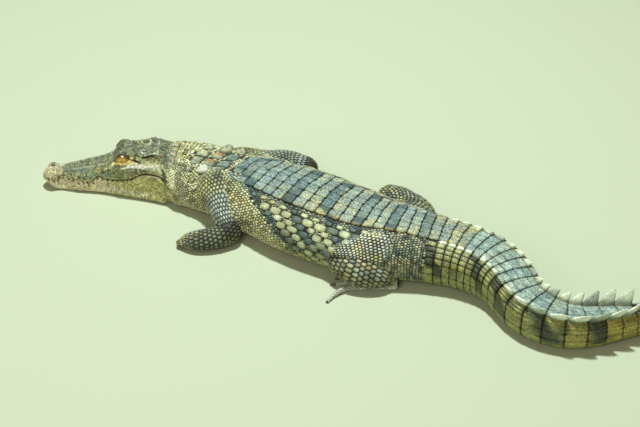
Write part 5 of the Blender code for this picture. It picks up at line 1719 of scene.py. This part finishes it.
for seed, (limb, part, made) in enumerate(limb_lengths, 91):
    kind = f"{limb[:3]}_{'digit' if part[0] == 'd' else part}"
    far_thigh = limb == "leg_right" and part == "upper"
    length_step, cross_step, height, tip, pale = LIMB_SCALES["far_thigh" if far_thigh else kind]
    start, end = made.rows[0] + .0015, made.rows[-1] - .0015
    row_count = max(3, round((end - start) / length_step))
    column_count = max(6, round(made.girth / cross_step))
    middles, corners = (
        np.stack([start + (spots[..., 1] + .5) * (end - start) / row_count, spots[..., 0] / column_count], -1)
        for spots in brick_cells(row_count, column_count, .1 if part[0] == "d" else .2, seed))
    roots, _ = made.at(*middles.T)
    kept = (body_gap(roots) > -.0004) & (roots[:, 2] > .0006)
    for other, neighbour in limbs[limb].items():
        if other != part:
            kept &= tube_gap(roots, neighbour) > -.0003
    if not kept.any():
        continue
    middles, corners, roots = middles[kept], corners[kept], roots[kept]
    dark = mix(LIMB_SLATE * .8, (.15, .155, .065), cloud(roots, .006, 25))
    light = mix((.36, .43, .34), (.5, .48, .21), smooth(cloud(roots, .009, 26), .3, .7))
    if kind == "leg_upper":
        dark, light = dark * 1.2, light * (1.7, 1.8, 2.1)
    if kind == "arm_upper":
        along = (middles[:, 0] - start) / (end - start)
        dark, light = dark * 1.2, mix((.42, .43, .2), (.36, .44, .37), smooth(along, .3, .5))
        light = mix(light, LIMB_SLATE * .7, .9 * bell(np.linalg.norm(roots - ARM_SHADE, axis=1), .014, 4))
    patchy = np.clip(pale + 1.1 * (cloud(roots, .013, 24) - .5), 0, 1)
    colour = jittered(mix(dark, light, patchy), .3, seed)
    if far_thigh:
        mottled = mix(LIMB_SLATE * .7, (.36, .37, .16), smooth(cloud(roots, .008, 27), .45, .6))
        colour = mix(colour, mottled, .75)
    # Painted shade along the folds between the limb's lengths.
    fold = np.min([tube_gap(roots, limbs[limb][other]) for other in ("upper", "lower") if other != part], 0)
    colour = colour * (1 - .88 * bell(fold, .0032))[:, None]
    # Soles and toes pale grey, partly their own colour and partly painted light where the body's shadow falls
    # on them.
    if kind in ("leg_palm", "leg_digit"):
        colour = jittered(np.full(colour.shape, (.76, .82, .68)), .22, seed)
    # Painted highlight on each scale's tip (on thigh and arm also their pale tips) and painted shade round
    # its rim.
    limb_coat.lay(made, corners, ROUND_DOME if part in ("upper", "lower") else LOW_DOME, height, colour,
                  tube_uv(made, *middles.T), tip=tip, edge=.16, lean=.16,
                  fall=(0, .3, .62, .85) if kind == "leg_upper" else (0, .4, .78, .95))
limb_coat.made("limb_scales", "olive_scales", 1100.0, .36, 700.0, .56, .45, .03)

# ==== teeth
# Ivory pegs that stand outside the closed mouth: upper ones along the wavy lip, and the long fourth
# lower tooth that fits the notch behind the nostrils.  Each is a slightly curved cone set in the gum.
UPPER_TEETH = (.035, .065, .1, .135, .225, .265, .31, .355, .395, .47, .52, .57)
LOWER_TEETH = ((.02, .6), (.078, .7), (.118, .6), (.17, 2.1), (.205, .7), (.245, .7), (.335, .7), (.42, .8))
TOOTH_RADIUS = .00115
TOOTH_LENGTH = .005


def pegs(name, feet, ways, bends, lengths, radii, finish, sides=10):
    """Curved cones: rings across a parabola from each foot along way, drawn aside by bend, thinning
    as the square root of the distance left."""
    share = np.linspace(0, 1, 9)
    run = share[None, :, None]
    line = feet[:, None] + ways[:, None] * run * lengths[:, None, None] + bends[:, None] * run ** 2
    thin = radii[:, None] * np.sqrt(np.clip(1.02 - share ** 1.6, 0.0, 1))[None]
    direction = unit(np.gradient(line, axis=1))
    across = unit(np.cross(direction, (.31, .22, .93)))
    over = np.cross(direction, across)
    k = np.arange(sides)
    turn = k * math.tau / sides
    rings = (line[:, :, None] + thin[:, :, None, None] * (np.cos(turn)[:, None] * across[:, :, None]
                                                         + np.sin(turn)[:, None] * over[:, :, None]))
    count = len(feet)
    end = line[:, -1] + direction[:, -1] * thin[:, -1:]
    points = np.concatenate([rings.reshape(count, -1, 3), end[:, None]], 1)
    each = points.shape[1]
    base = (np.arange(count) * each)[:, None, None]
    ring, following = np.arange(8)[:, None] * sides + k, np.arange(8)[:, None] * sides + (k + 1) % sides
    quads = np.stack([ring, following, following + sides, ring + sides], -1).reshape(-1, 4)
    tops = np.stack([8 * sides + k, 8 * sides + (k + 1) % sides, np.full(sides, each - 1)], 1)
    faces = (base + quads).reshape(-1, 4).tolist() + (base + tops).reshape(-1, 3).tolist()
    faces += (base[:, 0] + k[::-1]).tolist()
    mesh = bpy.data.meshes.new(name)
    mesh.from_pydata(points.reshape(-1, 3), [], faces)
    reach = np.concatenate([np.repeat(share, sides), [1.0]])
    layer = mesh.attributes.new("reach", "FLOAT", "POINT")
    layer.data.foreach_set("value", np.tile(reach, count).astype(np.float32))
    mesh.shade_smooth()
    mesh.materials.append(finish)
    obj = put(name, mesh)
    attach(obj, "root")
    return obj


def horn_finish(name, root, tip, roughness, streak):
    """Horn or ivory: root colour to tip colour along the piece's reach, with streaks and specks."""
    finish, tree, shader = new_finish(name)
    reach = node(tree, "Attribute", {}, attribute_name="reach")["Fac"]
    specks = noise(node(tree, "TexCoord", {})["Object"], streak, 3.0)
    share = maths("ADD", reach, spread(specks, .3, .7, -.25, .25))
    blend = node(tree, "Mix", {"A": root, "B": tip, "Factor": share}, data_type="RGBA")
    feed(tree, shader, {"Base Color": blend["Result"], "Normal": bump(specks, .3, .0003),
                        "Roughness": spread(specks, .3, .7, roughness - .06, roughness + .08)})
    return finish


IVORY = horn_finish("ivory", (.62, .52, .3, 1), (.8, .76, .62, 1), .3, 900.0)
feet, ways, lengths = [], [], []
for side in (1, -1):
    u = np.array(UPPER_TEETH)
    root, outward = body.at(u * HEAD_LENGTH, side * (5.18 + 0 * u))
    feet.append(root - outward * .0006 + (0, 0, .0006))
    ways.append(unit(outward * .2 + (0, 0, -1.0)))
    lengths.append(TOOTH_LENGTH * np.interp(u, (0, .1, .2, .27, .4, .6), (.75, 1.15, .8, 1.1, .9, .6)))
    u, size = np.array(LOWER_TEETH).T
    root, outward = body.at(u * HEAD_LENGTH, side * (5.72 + 0 * u))
    feet.append(root - outward * .0004 - (0, 0, .0006))
    ways.append(unit(outward * .1 + (0, 0, 1.0)))
    lengths.append(TOOTH_LENGTH * size)
feet, ways, lengths = (np.concatenate(v) for v in (feet, ways, lengths))
pegs("teeth", feet, ways, unit(ways * (1, 1, 0)) * -.0004, lengths,
     TOOTH_RADIUS * (.55 + .5 * lengths / TOOTH_LENGTH), IVORY)

# ==== claws
# Dark curved horn on the three inner fingers and toes, one piece on each, its root in the digit's
# blunt end.
CLAW_LENGTH = .0094
HORN = horn_finish("claw_horn", (.115, .095, .06, 1), (.035, .03, .024, 1), .34, 600.0)
for limb, tips in digit_tips.items():
    for number, (end, direction, radius) in enumerate(tips[:3], 1):
        foot = end + direction * radius * .35
        claw = pegs(f"claw_{limb}_{number}_horn", foot[None], unit(direction + (0, 0, .16))[None],
                    np.array([[0, 0, -.003]]), np.array([CLAW_LENGTH]), np.array([radius * .72]), HORN,
                    12)
        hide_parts(f"claw_{limb}_{number}")
